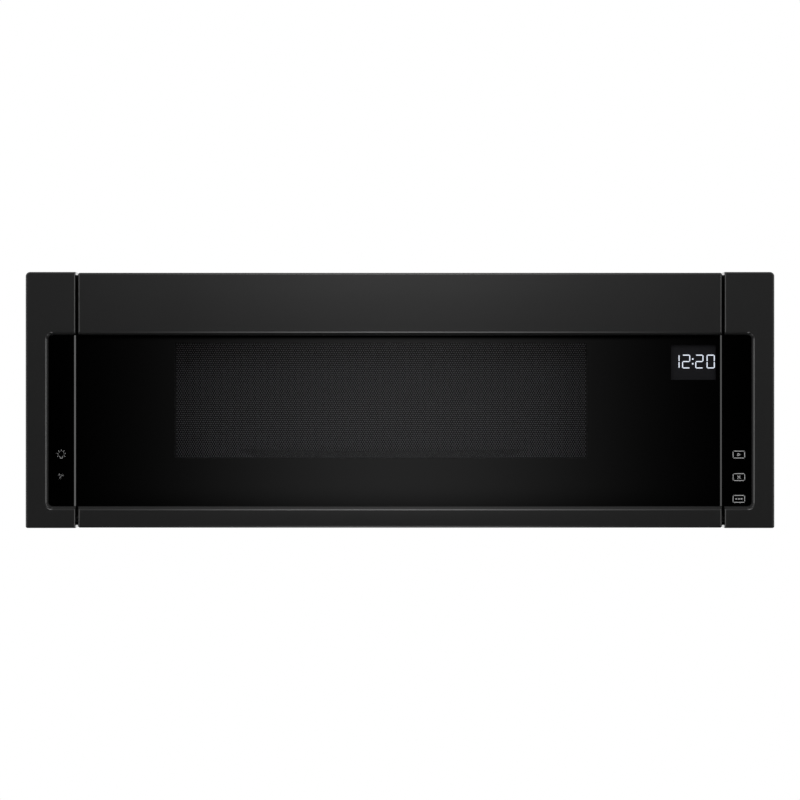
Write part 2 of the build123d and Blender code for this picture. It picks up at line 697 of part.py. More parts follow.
def cabinet_bolt_nuts():
    """Bushes under the case top for the two bolts from the cupboard above."""
    nuts = []
    for x in (-TOP_BOLT_X, TOP_BOLT_X):
        outline = Pos(x, TOP_BOLT_Y) * RegularPolygon(NUT, 6)
        nut = Pos(0, 0, INNER_TOP - NUT_HIGH) * extrude(outline, NUT_HIGH)
        nuts.append(nut - rod_z(TOP_BOLT, x, TOP_BOLT_Y, (INNER_TOP - NUT_HIGH, INNER_TOP)))
    return nuts


def cord_gland():
    """The bush in the top where the power lead comes in, with its nut under the case."""
    low = INNER_TOP - GLAND_LONG
    body = rod_z(GLAND, GLAND_X, GLAND_Y, (low, CASE_TOP))
    outline = Pos(GLAND_X, GLAND_Y, INNER_TOP - GLAND_NUT_HIGH) * RegularPolygon(GLAND + GLAND_NUT, 6)
    nut = extrude(outline, GLAND_NUT_HIGH)
    return body + nut - rod_z(GLAND_BORE, GLAND_X, GLAND_Y, (low, CASE_TOP))


# ------------------------------------------------------------------ oven cavity
def oven_cavity():
    """The liner's flat sides, its four bends and its back, and the front plate that they are welded to."""
    y = (PLATE_BACK, CAVITY_BACK)
    outer = rounded((LINER_LEFT, LINER_RIGHT), y, (LINER_LOW, LINER_TOP), CAVITY_ROUND + SHEET, Axis.Y)
    wrap = outer - cavity_hollow(y)
    flat_x = inset((CAVITY_LEFT, CAVITY_RIGHT), CAVITY_ROUND)
    flat_z = inset((CAVITY_FLOOR, CAVITY_TOP), CAVITY_ROUND)
    floor = block(flat_x, y, (LINER_LOW, CAVITY_FLOOR))
    floor -= rod_z(SHAFT_HOLE, TURNTABLE_X, TURNTABLE_Y, (LINER_LOW, CAVITY_FLOOR))
    roof = block(flat_x, y, (CAVITY_TOP, LINER_TOP))
    left = block((LINER_LEFT, CAVITY_LEFT), y, flat_z)
    left -= rod_x(LAMP_PORT, (LINER_LEFT, CAVITY_LEFT), OVEN_LAMP_Y, OVEN_LAMP_Z)
    right = block((CAVITY_RIGHT, LINER_RIGHT), y, flat_z)
    right -= block((CAVITY_RIGHT, LINER_RIGHT), centred(GUIDE_Y, PORT_LONG), centred(GUIDE_Z, PORT_HIGH))
    bends = []
    for x in ((LINER_LEFT, flat_x[0]), (flat_x[1], LINER_RIGHT)):
        for z in ((LINER_LOW, flat_z[0]), (flat_z[1], LINER_TOP)):
            bends.append(wrap & block(x, y, z))
    back_y = (CAVITY_BACK, LINER_BACK)
    back = rounded((LINER_LEFT, LINER_RIGHT), back_y, (LINER_LOW, LINER_TOP), CAVITY_ROUND + SHEET, Axis.Y)
    return [floor, roof, left, right, *bends, back, front_plate()]


def cavity_hollow(y):
    """The room inside the oven, between two Y values."""
    return rounded((CAVITY_LEFT, CAVITY_RIGHT), y, (CAVITY_FLOOR, CAVITY_TOP), CAVITY_ROUND, Axis.Y)


def front_plate():
    """The cabinet's front sheet round the cavity's mouth, with the slots that the latch hooks enter."""
    y = (CABINET, PLATE_BACK)
    plate = case_section(y, BASE_TOP) - cavity_hollow(y)
    for side in (-1, 1):
        plate -= block(centred(side * HOOK_X, SLOT_WIDE), y, SLOT_SPAN_Z)
    for post_x, post_z in column_posts():
        for x in (-post_x, post_x):
            plate -= rod_y(SCREW, x, y, post_z)
    return plate


def waveguide_cover():
    """The mica sheet over the port in the right wall."""
    x = (CAVITY_RIGHT - SCREEN, CAVITY_RIGHT)
    y = inset(centred(GUIDE_Y, PORT_LONG), -PORT_LAP)
    return rounded(x, y, inset(centred(GUIDE_Z, PORT_HIGH), -PORT_LAP), PORT_ROUND, Axis.X)


def cavity_lamp():
    """Lamp holder and bulb behind the port in the left wall."""
    outer = LINER_LEFT - OVEN_LAMP_DEEP
    side = 2 * LAMP_PORT + 4 * WALL
    holder = block((outer, LINER_LEFT), centred(OVEN_LAMP_Y, side), centred(OVEN_LAMP_Z, side))
    holder -= rod_x(LAMP_PORT, (outer + 2 * WALL, LINER_LEFT), OVEN_LAMP_Y, OVEN_LAMP_Z)
    bulb = rod_x(LAMP_PORT * 0.6, (outer + 2 * WALL, LINER_LEFT - 3 * WALL), OVEN_LAMP_Y, OVEN_LAMP_Z)
    return holder + bulb


def thermal_cutouts():
    """Round thermostats on the liner's roof and on its left side."""
    on_roof = rod_z(CUTOUT, CAVITY_RIGHT - CUTOUT_IN, TURNTABLE_Y, (LINER_TOP, LINER_TOP + CUTOUT_HIGH))
    left_y = OVEN_LAMP_Y - LAMP_PORT - 4 * CUTOUT
    on_left = rod_x(CUTOUT, (LINER_LEFT - CUTOUT_HIGH, LINER_LEFT), left_y, OVEN_LAMP_Z)
    return [on_roof, on_left]


# ------------------------------------------------------------------ door
def door_frame():
    """The hollow outer frame of the door with the ledge for the glass, open at the back."""
    x = (-DOOR_HALF, DOOR_HALF)
    z = (DOOR_LOW, DOOR_HIGH)
    shell = block(x, (FRONT, FLANGE_BACK), z)
    shell = fillet(shell.edges().filter_by(Axis.Y), CORNER_LOW)
    shell = fillet(shell.faces().sort_by(Axis.Y)[0].edges(), EDGE_ROUND)
    shell -= recess()
    inner_x = inset(x, WALL)
    inner_z = inset(z, WALL)
    shell -= block(inner_x, (WEB_BACK, FLANGE_BACK), inner_z)
    strip = (FRONT + WALL, FLANGE_BACK)
    shell -= block(inner_x, strip, (RECESS_HIGH + WALL, inner_z[1]))
    shell -= block(inner_x, strip, (inner_z[0], RECESS_LOW - WALL))
    shell -= block(WINDOW_SPAN_X, (GLASS_BACK, WEB_BACK), WINDOW_SPAN_Z)
    shell -= block(DISPLAY_SPAN_X, (GLASS_BACK, WEB_BACK), DISPLAY_SPAN_Z)
    for post_x, post_z in door_posts():
        shell += rod_y(SCREW_HEAD, post_x, (GLASS_BACK, FLANGE_FRONT), post_z)
        shell -= rod_y(SCREW, post_x, (WEB_BACK, FLANGE_FRONT), post_z)
    for side in (-1, 1):
        wall = (side * DOOR_HALF, side * (DOOR_HALF - WALL))
        shell -= rod_x(HINGE_PIN, (min(wall), max(wall)), HINGE_Y, HINGE_Z)
    return shell


def door_posts():
    """Middles of the four screw posts of the door, as X and Z."""
    post_x = DOOR_HALF - WALL - 3 * SCREW_HEAD
    heights = (SEAT_LOW + HINGE_TALL, SEAT_HIGH + SCREW_HEAD)
    return [(side * post_x, z) for side in (-1, 1) for z in heights]


def door_screws():
    """The screws that hold the pan in the door frame."""
    screws = []
    for post_x, post_z in door_posts():
        screws.append(Pos(post_x, FLANGE_BACK, post_z) * Rot(-90, 0, 0) * pan_screw(WALL * 5))
    return screws


def door_choke_frame():
    """The pressed pan: a flange, a deep choke channel with a comb of slots, and the window's tub."""
    flange_x = inset((-DOOR_HALF, DOOR_HALF), WALL + FIT)
    flange_z = inset((DOOR_LOW, DOOR_HIGH), WALL + FIT)
    flange_y = (FLANGE_FRONT, FLANGE_BACK)
    deep = (PAN_FRONT, FLANGE_BACK)
    pan = block(flange_x, flange_y, flange_z) + block(CHOKE_X, deep, CHOKE_Z)
    pan -= block(inset(CHOKE_X, SHEET), (PAN_FRONT + SHEET, FLANGE_BACK), inset(CHOKE_Z, SHEET))
    pan += block(TUB_X, deep, TUB_Z)
    pan -= block(inset(TUB_X, SHEET), (PAN_FRONT, FLANGE_FRONT), inset(TUB_Z, SHEET))
    pan -= block(WINDOW_SPAN_X, flange_y, WINDOW_SPAN_Z)
    pan -= choke_comb()
    for side in (-1, 1):
        pan -= block(centred(side * HOOK_X, SLOT_WIDE), flange_y, SLOT_SPAN_Z)
    for post_x, post_z in door_posts():
        pan -= rod_y(SCREW, post_x, flange_y, post_z)
    return pan


def choke_comb():
    """The row of slots cut down the tub's wall, which makes the choke a comb."""
    y = (FLANGE_FRONT - CHOKE_SLOT_DEPTH, FLANGE_FRONT)
    slots = []
    count = math.floor((TUB_X[1] - TUB_X[0]) / CHOKE_PITCH)
    start = sum(TUB_X) / 2 - (count - 1) * CHOKE_PITCH / 2
    for index in range(count):
        x = centred(start + index * CHOKE_PITCH, CHOKE_SLOT)
        slots.append(block(x, y, (TUB_Z[0], TUB_Z[0] + SHEET)))
        slots.append(block(x, y, (TUB_Z[1] - SHEET, TUB_Z[1])))
    count = math.floor((TUB_Z[1] - TUB_Z[0]) / CHOKE_PITCH)
    start = sum(TUB_Z) / 2 - (count - 1) * CHOKE_PITCH / 2
    for index in range(count):
        z = centred(start + index * CHOKE_PITCH, CHOKE_SLOT)
        slots.append(block((TUB_X[0], TUB_X[0] + SHEET), y, z))
        slots.append(block((TUB_X[1] - SHEET, TUB_X[1]), y, z))
    return slots


def window_sheet_spans():
    """Outline of the inner window, between the window and the tub's edge."""
    return inset(WINDOW_SPAN_X, -2 * SCREEN_LAP), inset(WINDOW_SPAN_Z, -2 * SCREEN_LAP)


def door_screen():
    """The perforated screen, drawn plain, on the front of the pan's window."""
    x = inset(WINDOW_SPAN_X, -SCREEN_LAP)
    z = inset(WINDOW_SPAN_Z, -SCREEN_LAP)
    return block(x, (FLANGE_FRONT - SCREEN, FLANGE_FRONT), z)


def inner_window():
    """The clear sheet on the oven side of the screen."""
    x, z = window_sheet_spans()
    return rounded(x, (FLANGE_BACK, DOOR_BACK), z, CORNER_TOP, Axis.Y)


def choke_cover():
    """The moulded ring that hides the choke channel round the inner window."""
    x = inset(CHOKE_X, -COVER_LAP)
    z = inset(CHOKE_Z, -COVER_LAP)
    ring = rounded(x, (FLANGE_BACK, DOOR_BACK), z, CORNER_TOP, Axis.Y)
    window_x, window_z = window_sheet_spans()
    gap = GLASS_CLEAR
    opening = rounded(inset(window_x, -gap), (FLANGE_BACK, DOOR_BACK), inset(window_z, -gap),
                      CORNER_TOP + gap, Axis.Y)
    return ring - opening


def display_module():
    """The clock display, against the back of the door glass."""
    x = inset(DISPLAY_SPAN_X, GLASS_CLEAR)
    z = inset(DISPLAY_SPAN_Z, GLASS_CLEAR)
    panel = block(x, (GLASS_BACK, WEB_BACK), z)
    case = block(inset(x, -WALL), (WEB_BACK, WEB_BACK + DISPLAY_DEPTH), inset(z, -WALL))
    return panel + case


def hinge_leaf():
    """The steel leaf inside the door's side wall that carries the hinge pin."""
    x = (DOOR_HALF - WALL - HINGE_PLATE, DOOR_HALF - WALL)
    z = (DOOR_LOW + WALL, DOOR_LOW + WALL + HINGE_TALL)
    front = WEB_BACK
    outline = polygon((front, z[0]), (FLANGE_FRONT, z[0]), (FLANGE_FRONT, z[1]),
                      (FLANGE_FRONT - HINGE_BACK / 2, z[1]), (front, z[0] + HINGE_TALL / 2))
    return along_x(outline, x) - rod_x(HINGE_PIN, x, HINGE_Y, HINGE_Z)


def hinge_pin():
    """The pin that is fast in the door and turns in the bracket and the damper."""
    head = DOOR_HALF - WALL - HINGE_PLATE
    damper_x = hinge_damper_x()
    pin = rod_x(HINGE_PIN, (head, damper_x[1] - 2 * WALL), HINGE_Y, HINGE_Z)
    return pin + rod_x(HINGE_PIN + WALL - FIT, (head - WALL, head), HINGE_Y, HINGE_Z)


def hinge_bracket():
    """The angle on the cabinet's front face, inside the column, with the hole for the pin."""
    x = (COLUMN_IN + WALL, COLUMN_IN + WALL + HINGE_PLATE)
    z = (WALL, WALL + HINGE_TALL)
    upright = block(x, (HINGE_Y - DAMPER, CABINET), z)
    foot_x = (x[1], SEAT_HALF - WALL)
    foot = block(foot_x, (CABINET - HINGE_PLATE, CABINET), (HINGE_Z + DAMPER + WALL, z[1]))
    return upright + foot - rod_x(HINGE_PIN + RUNNING, x, HINGE_Y, HINGE_Z)


def hinge_damper_x():
    """The damper's place beside the hinge bracket."""
    start = COLUMN_IN + WALL + HINGE_PLATE
    return (start, start + DAMPER_LONG)


def hinge_damper():
    """The rotary damper round the end of the hinge pin, with its fixing ear."""
    x = hinge_damper_x()
    body = rod_x(DAMPER, x, HINGE_Y, HINGE_Z)
    ear = block((x[0], x[0] + HINGE_PLATE), centred(HINGE_Y, DAMPER), (HINGE_Z, HINGE_Z + 3 * DAMPER))
    bore = (x[0], x[1] - 2 * WALL + 2 * RUNNING)
    return body + ear - rod_x(HINGE_PIN + RUNNING, bore, HINGE_Y, HINGE_Z)


# ------------------------------------------------------------------ latch
def latch_hook():
    """A hook that turns on its pin in the door and catches behind the cabinet's front plate."""
    nose = CABINET + HOOK_REACH
    barb = PLATE_BACK + HOOK_CATCH
    barb_top = HOOK_HIGH + HOOK_BARB
    outline = polygon((HOOK_PIVOT_Y, HOOK_LOW), (nose - HOOK_ARM, HOOK_LOW), (nose, HOOK_HIGH),
                      (nose - HOOK_BARB, barb_top), (barb, barb_top), (barb, HOOK_HIGH),
                      (HOOK_PIVOT_Y, HOOK_HIGH))
    hook = along_x(outline, centred(HOOK_X, HOOK_THICK))
    hook += rod_x(HOOK_ARM / 2, centred(HOOK_X, HOOK_THICK), HOOK_PIVOT_Y, HOOK_PIVOT_Z)
    return hook - rod_x(HOOK_PIN + RUNNING, centred(HOOK_X, HOOK_THICK), HOOK_PIVOT_Y, HOOK_PIVOT_Z)


def latch_holder():
    """Two cheeks and a pin in the door that carry a hook, fixed on the front of the pan's flange."""
    inner = HOOK_THICK / 2 + HOOK_SIDE
    y = (HOOK_PIVOT_Y - HOOK_ARM, FLANGE_FRONT)
    z = inset((HOOK_LOW, HOOK_HIGH), -WALL)
    holder = block(centred(HOOK_X, 2 * (inner + WALL)), (y[0] - WALL, y[1]), z)
    holder -= block(centred(HOOK_X, 2 * inner), y, z)
    return holder + rod_x(HOOK_PIN, centred(HOOK_X, 2 * inner + WALL), HOOK_PIVOT_Y, HOOK_PIVOT_Z)


def latch_bracket():
    """The housing behind the front plate that a hook enters, with the bearings of the shaft."""
    x = centred(HOOK_X, 2 * BRACKET_HALF)
    y = (PLATE_BACK, SHAFT_Y + SHAFT + 2 * BRACKET_WALL)
    z = (BRACKET_LOW, INNER_TOP)
    bracket = block(x, y, z)
    hollow_y = (PLATE_BACK, y[1] - BRACKET_WALL)
    bracket -= block(inset(x, BRACKET_WALL), hollow_y, (z[0] + BRACKET_WALL, z[1]))
    return bracket - rod_x(SHAFT + RUNNING, x, SHAFT_Y, SHAFT_Z)


def interlock_switch():
    """A switch on the back of a latch bracket, with its two blade terminals."""
    y = SHAFT_Y + SHAFT + 2 * BRACKET_WALL
    z = centred((BRACKET_LOW + SHAFT_Z) / 2, SWITCH_HIGH)
    switch = block(centred(HOOK_X, SWITCH_WIDE), (y, y + SWITCH_DEEP), z)
    for tag_z in inset(z, SWITCH_TAG):
        tag_y = (y + SWITCH_DEEP, y + SWITCH_DEEP + SWITCH_TAG)
        switch += block(centred(HOOK_X, SWITCH_WIDE / 2), tag_y, centred(tag_z, FIN_THICK))
    return switch


def release_shaft():
    """The long shaft over the cavity with a finger over each hook and a lever to the solenoid."""
    end = HOOK_X + SHAFT_PAST
    shaft = rod_x(SHAFT, (-end, end), SHAFT_Y, SHAFT_Z)
    tip_y = CABINET + HOOK_REACH - HOOK_BARB
    tip_z = HOOK_HIGH + HOOK_BARB + SEAT
    finger = polygon((SHAFT_Y, SHAFT_Z - SHAFT / 2), (tip_y, tip_z), (tip_y - HOOK_BARB, tip_z),
                     (tip_y - HOOK_BARB, tip_z + FINGER_TIP), (SHAFT_Y, SHAFT_Z + SHAFT / 2))
    for side in (-1, 1):
        shaft += along_x(finger, centred(side * HOOK_X, HOOK_THICK))
    lever = block(centred(LEVER_X, HOOK_THICK), centred(SHAFT_Y, SHAFT), (LEVER_Z - SHAFT, SHAFT_Z))
    return shaft + lever


def solenoid_plunger():
    """The rod that the solenoid pulls back, with a fork and a cross pin in front of the lever."""
    pin_y = SHAFT_Y - SHAFT / 2 - SEAT - HOOK_PIN
    fork_in = HOOK_THICK / 2 + HOOK_SIDE
    head_y = (pin_y - HOOK_PIN - SHEET, SOLENOID_Y[0] - PLUNGER_HEAD)
    head_z = centred(LEVER_Z, 2 * PLUNGER)
    head = block(centred(LEVER_X, 2 * (fork_in + WALL)), head_y, head_z)
    head -= block(centred(LEVER_X, 2 * fork_in), (head_y[0], head_y[1] - WALL), head_z)
    head += rod_x(HOOK_PIN, centred(LEVER_X, 2 * fork_in + WALL), pin_y, LEVER_Z)
    return head + rod_y(PLUNGER, LEVER_X, (head_y[1] - WALL, SOLENOID_Y[0] + PLUNGER_IN), LEVER_Z)


def release_solenoid():
    """The solenoid on the liner's roof, with the bore for its plunger."""
    x = centred(LEVER_X, SOLENOID_WIDE)
    shelf_top = LINER_TOP + SOLENOID_SHELF
    body = block(x, SOLENOID_Y, (shelf_top, LEVER_Z + SOLENOID_OVER))
    shelf = block((CAVITY_RIGHT - SOLENOID_LAP, x[1]), SOLENOID_Y, (LINER_TOP, shelf_top))
    bore = (SOLENOID_Y[0], SOLENOID_Y[1] - SOLENOID_SHELF)
    return body + shelf - rod_y(PLUNGER + RUNNING, LEVER_X, bore, LEVER_Z)


# ------------------------------------------------------------------ turntable
def turntable_motor():
    """The flat geared motor under the cavity floor, with an ear at each side."""
    z = (LINER_LOW - TT_MOTOR_HIGH, LINER_LOW)
    motor = rod_z(TT_MOTOR, TURNTABLE_X, TURNTABLE_Y, z)
    ear_x = centred(TURNTABLE_X, 2 * (TT_MOTOR + TT_EAR))
    ear_y = centred(TURNTABLE_Y, TT_EAR_WIDE)
    motor += rounded(ear_x, ear_y, (z[1] - SHEET, z[1]), TT_EAR / 2)
    bore = (z[1] - MOTOR_SHAFT_IN - SHEET, z[1])
    return motor - rod_z(MOTOR_SHAFT + RUNNING, TURNTABLE_X, TURNTABLE_Y, bore)


def turntable_coupler():
    """The three-armed driver whose arms lie in the plate's pocket, with its shaft down into the motor."""
    hub = rod(COUPLER, COUPLER_LOW, COUPLER_HIGH)
    hub += coupler_arms(0, (COUPLER_HIGH - COUPLER_ARM_TALL, COUPLER_HIGH))
    shaft = rod(MOTOR_SHAFT, LINER_LOW - MOTOR_SHAFT_IN, COUPLER_LOW)
    return Pos(TURNTABLE_X, TURNTABLE_Y, 0) * (hub + shaft)


def coupler_arms(play, z):
    """Three arms about the Z axis, larger by a play all round."""
    arm = block((0, COUPLER_ARM + play), centred(0, COUPLER_ARM_WIDE + 2 * play), z)
    return [Rot(0, 0, 120 * turn) * arm for turn in range(3)]


def turntable_plate():
    """The glass plate with its raised rim and the three-armed pocket that the coupler drives."""
    knee = PLATE_FLAT + PLATE_SLOPE / 2
    low_rise = PLATE_RIM / 4
    under = [(0, 0), (PLATE_FLAT, 0), (knee, low_rise), (PLATE_RADIUS, PLATE_RIM)]
    over = [(PLATE_RADIUS - PLATE_THICK, PLATE_RIM + PLATE_LIP), (knee - PLATE_THICK, PLATE_THICK + low_rise),
            (PLATE_FLAT, PLATE_THICK), (0, PLATE_THICK)]
    plate = revolve(Plane.XZ * polygon(*under, *over), Axis.Z)
    plate -= rod(COUPLER + COUPLER_PLAY, 0, PLATE_POCKET)
    plate -= coupler_arms(COUPLER_PLAY, (0, PLATE_POCKET))
    return Pos(TURNTABLE_X, TURNTABLE_Y, PLATE_Z) * plate


def roller_ring():
    """The ring that carries three rollers on stub axles."""
    outer = TRACK - WHEEL_WIDE / 2 - RING_GAP
    z = centred(WHEEL_Z, RING_HIGH)
    ring = rod(outer, *z) - rod(outer - RING_THICK, *z)
    axle_x = (outer - RING_THICK / 2, TRACK + WHEEL_WIDE / 2 + RING_GAP)
    for index in range(ROLLERS):
        ring += Rot(0, 0, roller_angle(index)) * rod_x(STUB, axle_x, 0, WHEEL_Z)
    return Pos(TURNTABLE_X, TURNTABLE_Y, 0) * ring


def roller_angle(index):
    """The direction of a roller from the middle; the first points to the front."""
    return -90 + 360 / ROLLERS * index


def roller(index):
    """One roller on its stub axle."""
    x = centred(TRACK, WHEEL_WIDE)
    wheel = rod_x(WHEEL, x, 0, WHEEL_Z) - rod_x(STUB + RUNNING, x, 0, WHEEL_Z)
    return Pos(TURNTABLE_X, TURNTABLE_Y, 0) * Rot(0, 0, roller_angle(index)) * wheel


# ------------------------------------------------------------------ vent blower
def scroll_outline(margin):
    """The snail-shaped profile round a blower wheel, with its outlet straight up."""
    steps = 12
    points = []
    for step in range(steps + 1):
        turn = math.pi * step / steps
        radius = SCROLL_START + (SCROLL_END - SCROLL_START) * step / steps - margin
        points.append((BLOWER_Y - radius * math.cos(turn), BLOWER_Z - radius * math.sin(turn)))
    low, high = points[0], points[-1]
    sides = Polyline(high, (high[0], INNER_TOP), (low[0], INNER_TOP), low)
    return make_face([Spline(*points), *sides.edges()])


def blower_housing():
    """One scroll housing, open to the exhaust at its top and to the wheel's eye at both ends."""
    shell = along_x(scroll_outline(0), SCROLL_X)
    shell -= along_x(scroll_outline(SCROLL_WALL), inset(SCROLL_X, SCROLL_WALL))
    return shell - rod_x(BLOWER_INLET, SCROLL_X, BLOWER_Y, BLOWER_Z)


def blower_wheel():
    """A squirrel-cage wheel: a hub disc, curved blades and an end ring."""
    disc_x = (BLOWER_IN, BLOWER_IN + BLOWER_DISC)
    ring_x = (BLOWER_OUT - BLOWER_RING, BLOWER_OUT)
    wheel = rod_x(BLOWER_WHEEL, disc_x, 0, 0)
    wheel += rod_x(BLOWER_HUB, (BLOWER_IN, BLOWER_IN + BLOWER_HUB_LONG), 0, 0)
    wheel += rod_x(BLOWER_WHEEL, ring_x, 0, 0) - rod_x(BLOWER_WHEEL - WALL, ring_x, 0, 0)
    outer = BLOWER_WHEEL - BLADE_THICK / 2
    bulge = ((BLOWER_EYE + BLOWER_WHEEL) / 2, BLADE_BULGE)
    blade_line = ThreePointArc((BLOWER_EYE, 0), bulge, (outer, 0))
    blade = along_x(trace(blade_line, BLADE_THICK), (disc_x[0], ring_x[1]))
    wheel += [Rot(360 / BLOWER_BLADES * index, 0, 0) * blade for index in range(BLOWER_BLADES)]
    return wheel


def vent_blower_wheels():
    """Both wheels on their common shaft."""
    right = blower_wheel()
    end = BLOWER_IN + BLOWER_HUB_LONG
    shaft = rod_x(BLOWER_SHAFT, (-end, end), 0, 0)
    return Pos(0, BLOWER_Y, BLOWER_Z) * (right + mirrored(right) + shaft)


def blower_motor():
    """The motor with domed ends between the scroll housings, on a saddle that joins them."""
    x = (-BLOWER_MOTOR_HALF, BLOWER_MOTOR_HALF)
    body = rod_x(BLOWER_MOTOR, inset(x, WALL), BLOWER_Y, BLOWER_Z)
    body = fillet(body.edges().filter_by(GeomType.CIRCLE), MOTOR_ROUND)
    low = BLOWER_Z - BLOWER_MOTOR - BLOWER_SADDLE
    body += block(x, centred(BLOWER_Y, BLOWER_MOTOR), (low, BLOWER_Z - BLOWER_MOTOR / 2))
    return body - rod_x(BLOWER_SHAFT + RUNNING, x, BLOWER_Y, BLOWER_Z)


# ------------------------------------------------------------------ cooling fan
def cooling_fan_housing():
    """The plate with a round shroud, and a strut behind it for the motor, standing on the tray."""
    y = (FAN_Y, FAN_Y + FAN_LONG + 2 * FAN_WALL)
    x = centred(FAN_X, FAN_PLATE)
    strut_z = centred(FAN_Z, FAN_STRUT)
    bore = FAN_RADIUS + FAN_TIP_GAP
    housing = block(x, (y[0], y[0] + FAN_WALL), (TRAY_TOP, FAN_Z + FAN_PLATE / 2))
    housing += rod_y(bore + FAN_WALL, FAN_X, y, FAN_Z)
    strut_y = (y[1] + FAN_WALL, y[1] + 2 * FAN_WALL)
    housing += block(x, strut_y, strut_z)
    for side in (x[0], x[1] - 3 * FAN_WALL):
        housing += block((side, side + 3 * FAN_WALL), (y[0], strut_y[1]), strut_z)
    housing -= rod_y(bore, FAN_X, y, FAN_Z)
    return housing - rod_y(FAN_SHAFT + SHEET, FAN_X, strut_y, FAN_Z)


def cooling_fan_motor():
    """A shaded-pole motor on the back of the strut: a laminated core, its coil and the rotor's end cover."""
    start = FAN_Y + FAN_LONG + 4 * FAN_WALL
    y = (start, start + FAN_STACK_LONG)
    x = centred(FAN_X, FAN_STACK_WIDE)
    core_z = (FAN_Z - FAN_STACK_TALL, FAN_Z + FAN_STACK_TALL / 2)
    motor = rounded(x, y, core_z, FAN_COIL, Axis.Y)
    motor += rod_y(FAN_ROTOR, FAN_X, (start, y[1] + FAN_COIL), FAN_Z)
    coil_z = (core_z[0] - FAN_COIL / 2, core_z[0] + 2 * FAN_COIL)
    motor += rounded(inset(x, FAN_COIL), (start, y[1] + FAN_COIL), coil_z, FAN_COIL / 2, Axis.X)
    return motor - rod_y(FAN_SHAFT + RUNNING, FAN_X, (start, start + FAN_SHAFT_LONG - FAN_COIL), FAN_Z)


def cooling_fan_wheel():
    """A hub with twisted blades and a shaft back into the motor."""
    hub = rod(FAN_HUB, FAN_WALL, FAN_LONG)
    middle = FAN_LONG / 2 + SHEET
    root_at = Pos(FAN_HUB - FAN_WALL, 0, middle) * Rot(0, 90, 0)
    tip_at = Pos(FAN_RADIUS, 0, middle) * Rot(0, 90, 0)
    root = root_at * Rot(0, 0, FAN_ROOT_TURN) * Rectangle(FAN_WALL, FAN_HUB * 1.4)
    tip = tip_at * Rot(0, 0, FAN_TIP_TURN) * Rectangle(SCROLL_WALL, FAN_RADIUS * 0.65)
    blade = loft([root, tip], ruled=True) & rod(FAN_RADIUS, 0, FAN_LONG + FAN_WALL)
    for index in range(FAN_BLADES):
        hub += Rot(0, 0, 360 / FAN_BLADES * index) * blade
    hub += rod(FAN_SHAFT, FAN_LONG, FAN_LONG + FAN_SHAFT_LONG)
    return Pos(FAN_X, FAN_Y, FAN_Z) * Rot(-90, 0, 0) * hub


# ------------------------------------------------------------------ power parts
def waveguide():
    """The rectangular duct from the magnetron to the port in the liner's wall."""
    y = centred(GUIDE_Y, GUIDE_LONG)
    z = centred(GUIDE_Z, GUIDE_HIGH)
    duct = block(GUIDE_X, y, z) - block(inset(GUIDE_X, SHEET), inset(y, SHEET), inset(z, SHEET))
    duct -= block((GUIDE_X[0], GUIDE_X[0] + SHEET), centred(GUIDE_Y, PORT_LONG), centred(GUIDE_Z, PORT_HIGH))
    return duct - rod_x(ANTENNA + TUBE_PLATE, (GUIDE_X[1] - SHEET, GUIDE_X[1]), TUBE_Y, GUIDE_Z)


def magnetron():
    """Yoke, cooling fins, core and antenna, with the filter box at the outer end."""
    plate_x = (GUIDE_X[1], GUIDE_X[1] + TUBE_PLATE)
    y = centred(TUBE_Y, YOKE_LONG)
    z = centred(GUIDE_Z, YOKE_HIGH)
    yoke_x = (plate_x[1], plate_x[1] + YOKE_WIDE)
    tube = block(yoke_x, y, z) - block(inset(yoke_x, YOKE_WALL), y, inset(z, YOKE_WALL))
    tube += block(plate_x, y, z)
    tube += rod_x(TUBE_CORE, (plate_x[0], yoke_x[1]), TUBE_Y, GUIDE_Z)
    tube += rod_x(ANTENNA, (plate_x[0] - ANTENNA_IN, plate_x[0]), TUBE_Y, GUIDE_Z)
    pitch = (YOKE_WIDE - 2 * YOKE_WALL) / (COOLING_FINS + 1)
    for fin in range(1, COOLING_FINS + 1):
        fin_x = centred(yoke_x[0] + YOKE_WALL + fin * pitch, FIN_THICK)
        tube += block(fin_x, inset(y, FIN_IN), inset(z, YOKE_WALL))
    return tube + block((yoke_x[1], yoke_x[1] + TUBE_BOX), inset(y, TUBE_BOX_IN), inset(z, TUBE_BOX_IN))


def high_voltage_transformer():
    """A laminated core round two coils, on its foot plate."""
    x = centred(TRANSFORMER_X, TRANSFORMER_LONG)
    y = centred(TRANSFORMER_Y, TRANSFORMER_DEEP)
    core_z = (TRAY_TOP + TRANSFORMER_FOOT, TRAY_TOP + TRANSFORMER_HIGH)
    shape = block(x, y, core_z) + block(inset(x, -TRANSFORMER_LAP), y, (TRAY_TOP, core_z[0]))
    middle = sum(core_z) / 2
    coil_x = inset(x, LIMB)
    coil_y = inset(y, -COIL_OUT)
    for low in (middle - COIL_GAP / 2 - COIL_HIGH, middle + COIL_GAP / 2):
        shape += rounded(coil_x, coil_y, (low, low + COIL_HIGH), COIL_ROUND)
    return shape


def high_voltage_capacitor():
    """The oval can with its two terminals."""
    y = TRANSFORMER_Y + CAPACITOR_BEHIND
    top = TRAY_TOP + CAPACITOR_HIGH
    outline = Pos(TRANSFORMER_X, y, TRAY_TOP) * SlotOverall(CAPACITOR_LONG, CAPACITOR_WIDE)
    can = extrude(outline, CAPACITOR_HIGH)
    can = fillet(can.faces().sort_by(Axis.Z)[-1].edges(), SHEET)
    for x in centred(TRANSFORMER_X, 2 * TERMINAL_HALF):
        can += rod_z(TERMINAL, x, y, (top, top + TERMINAL_HIGH))
    return can


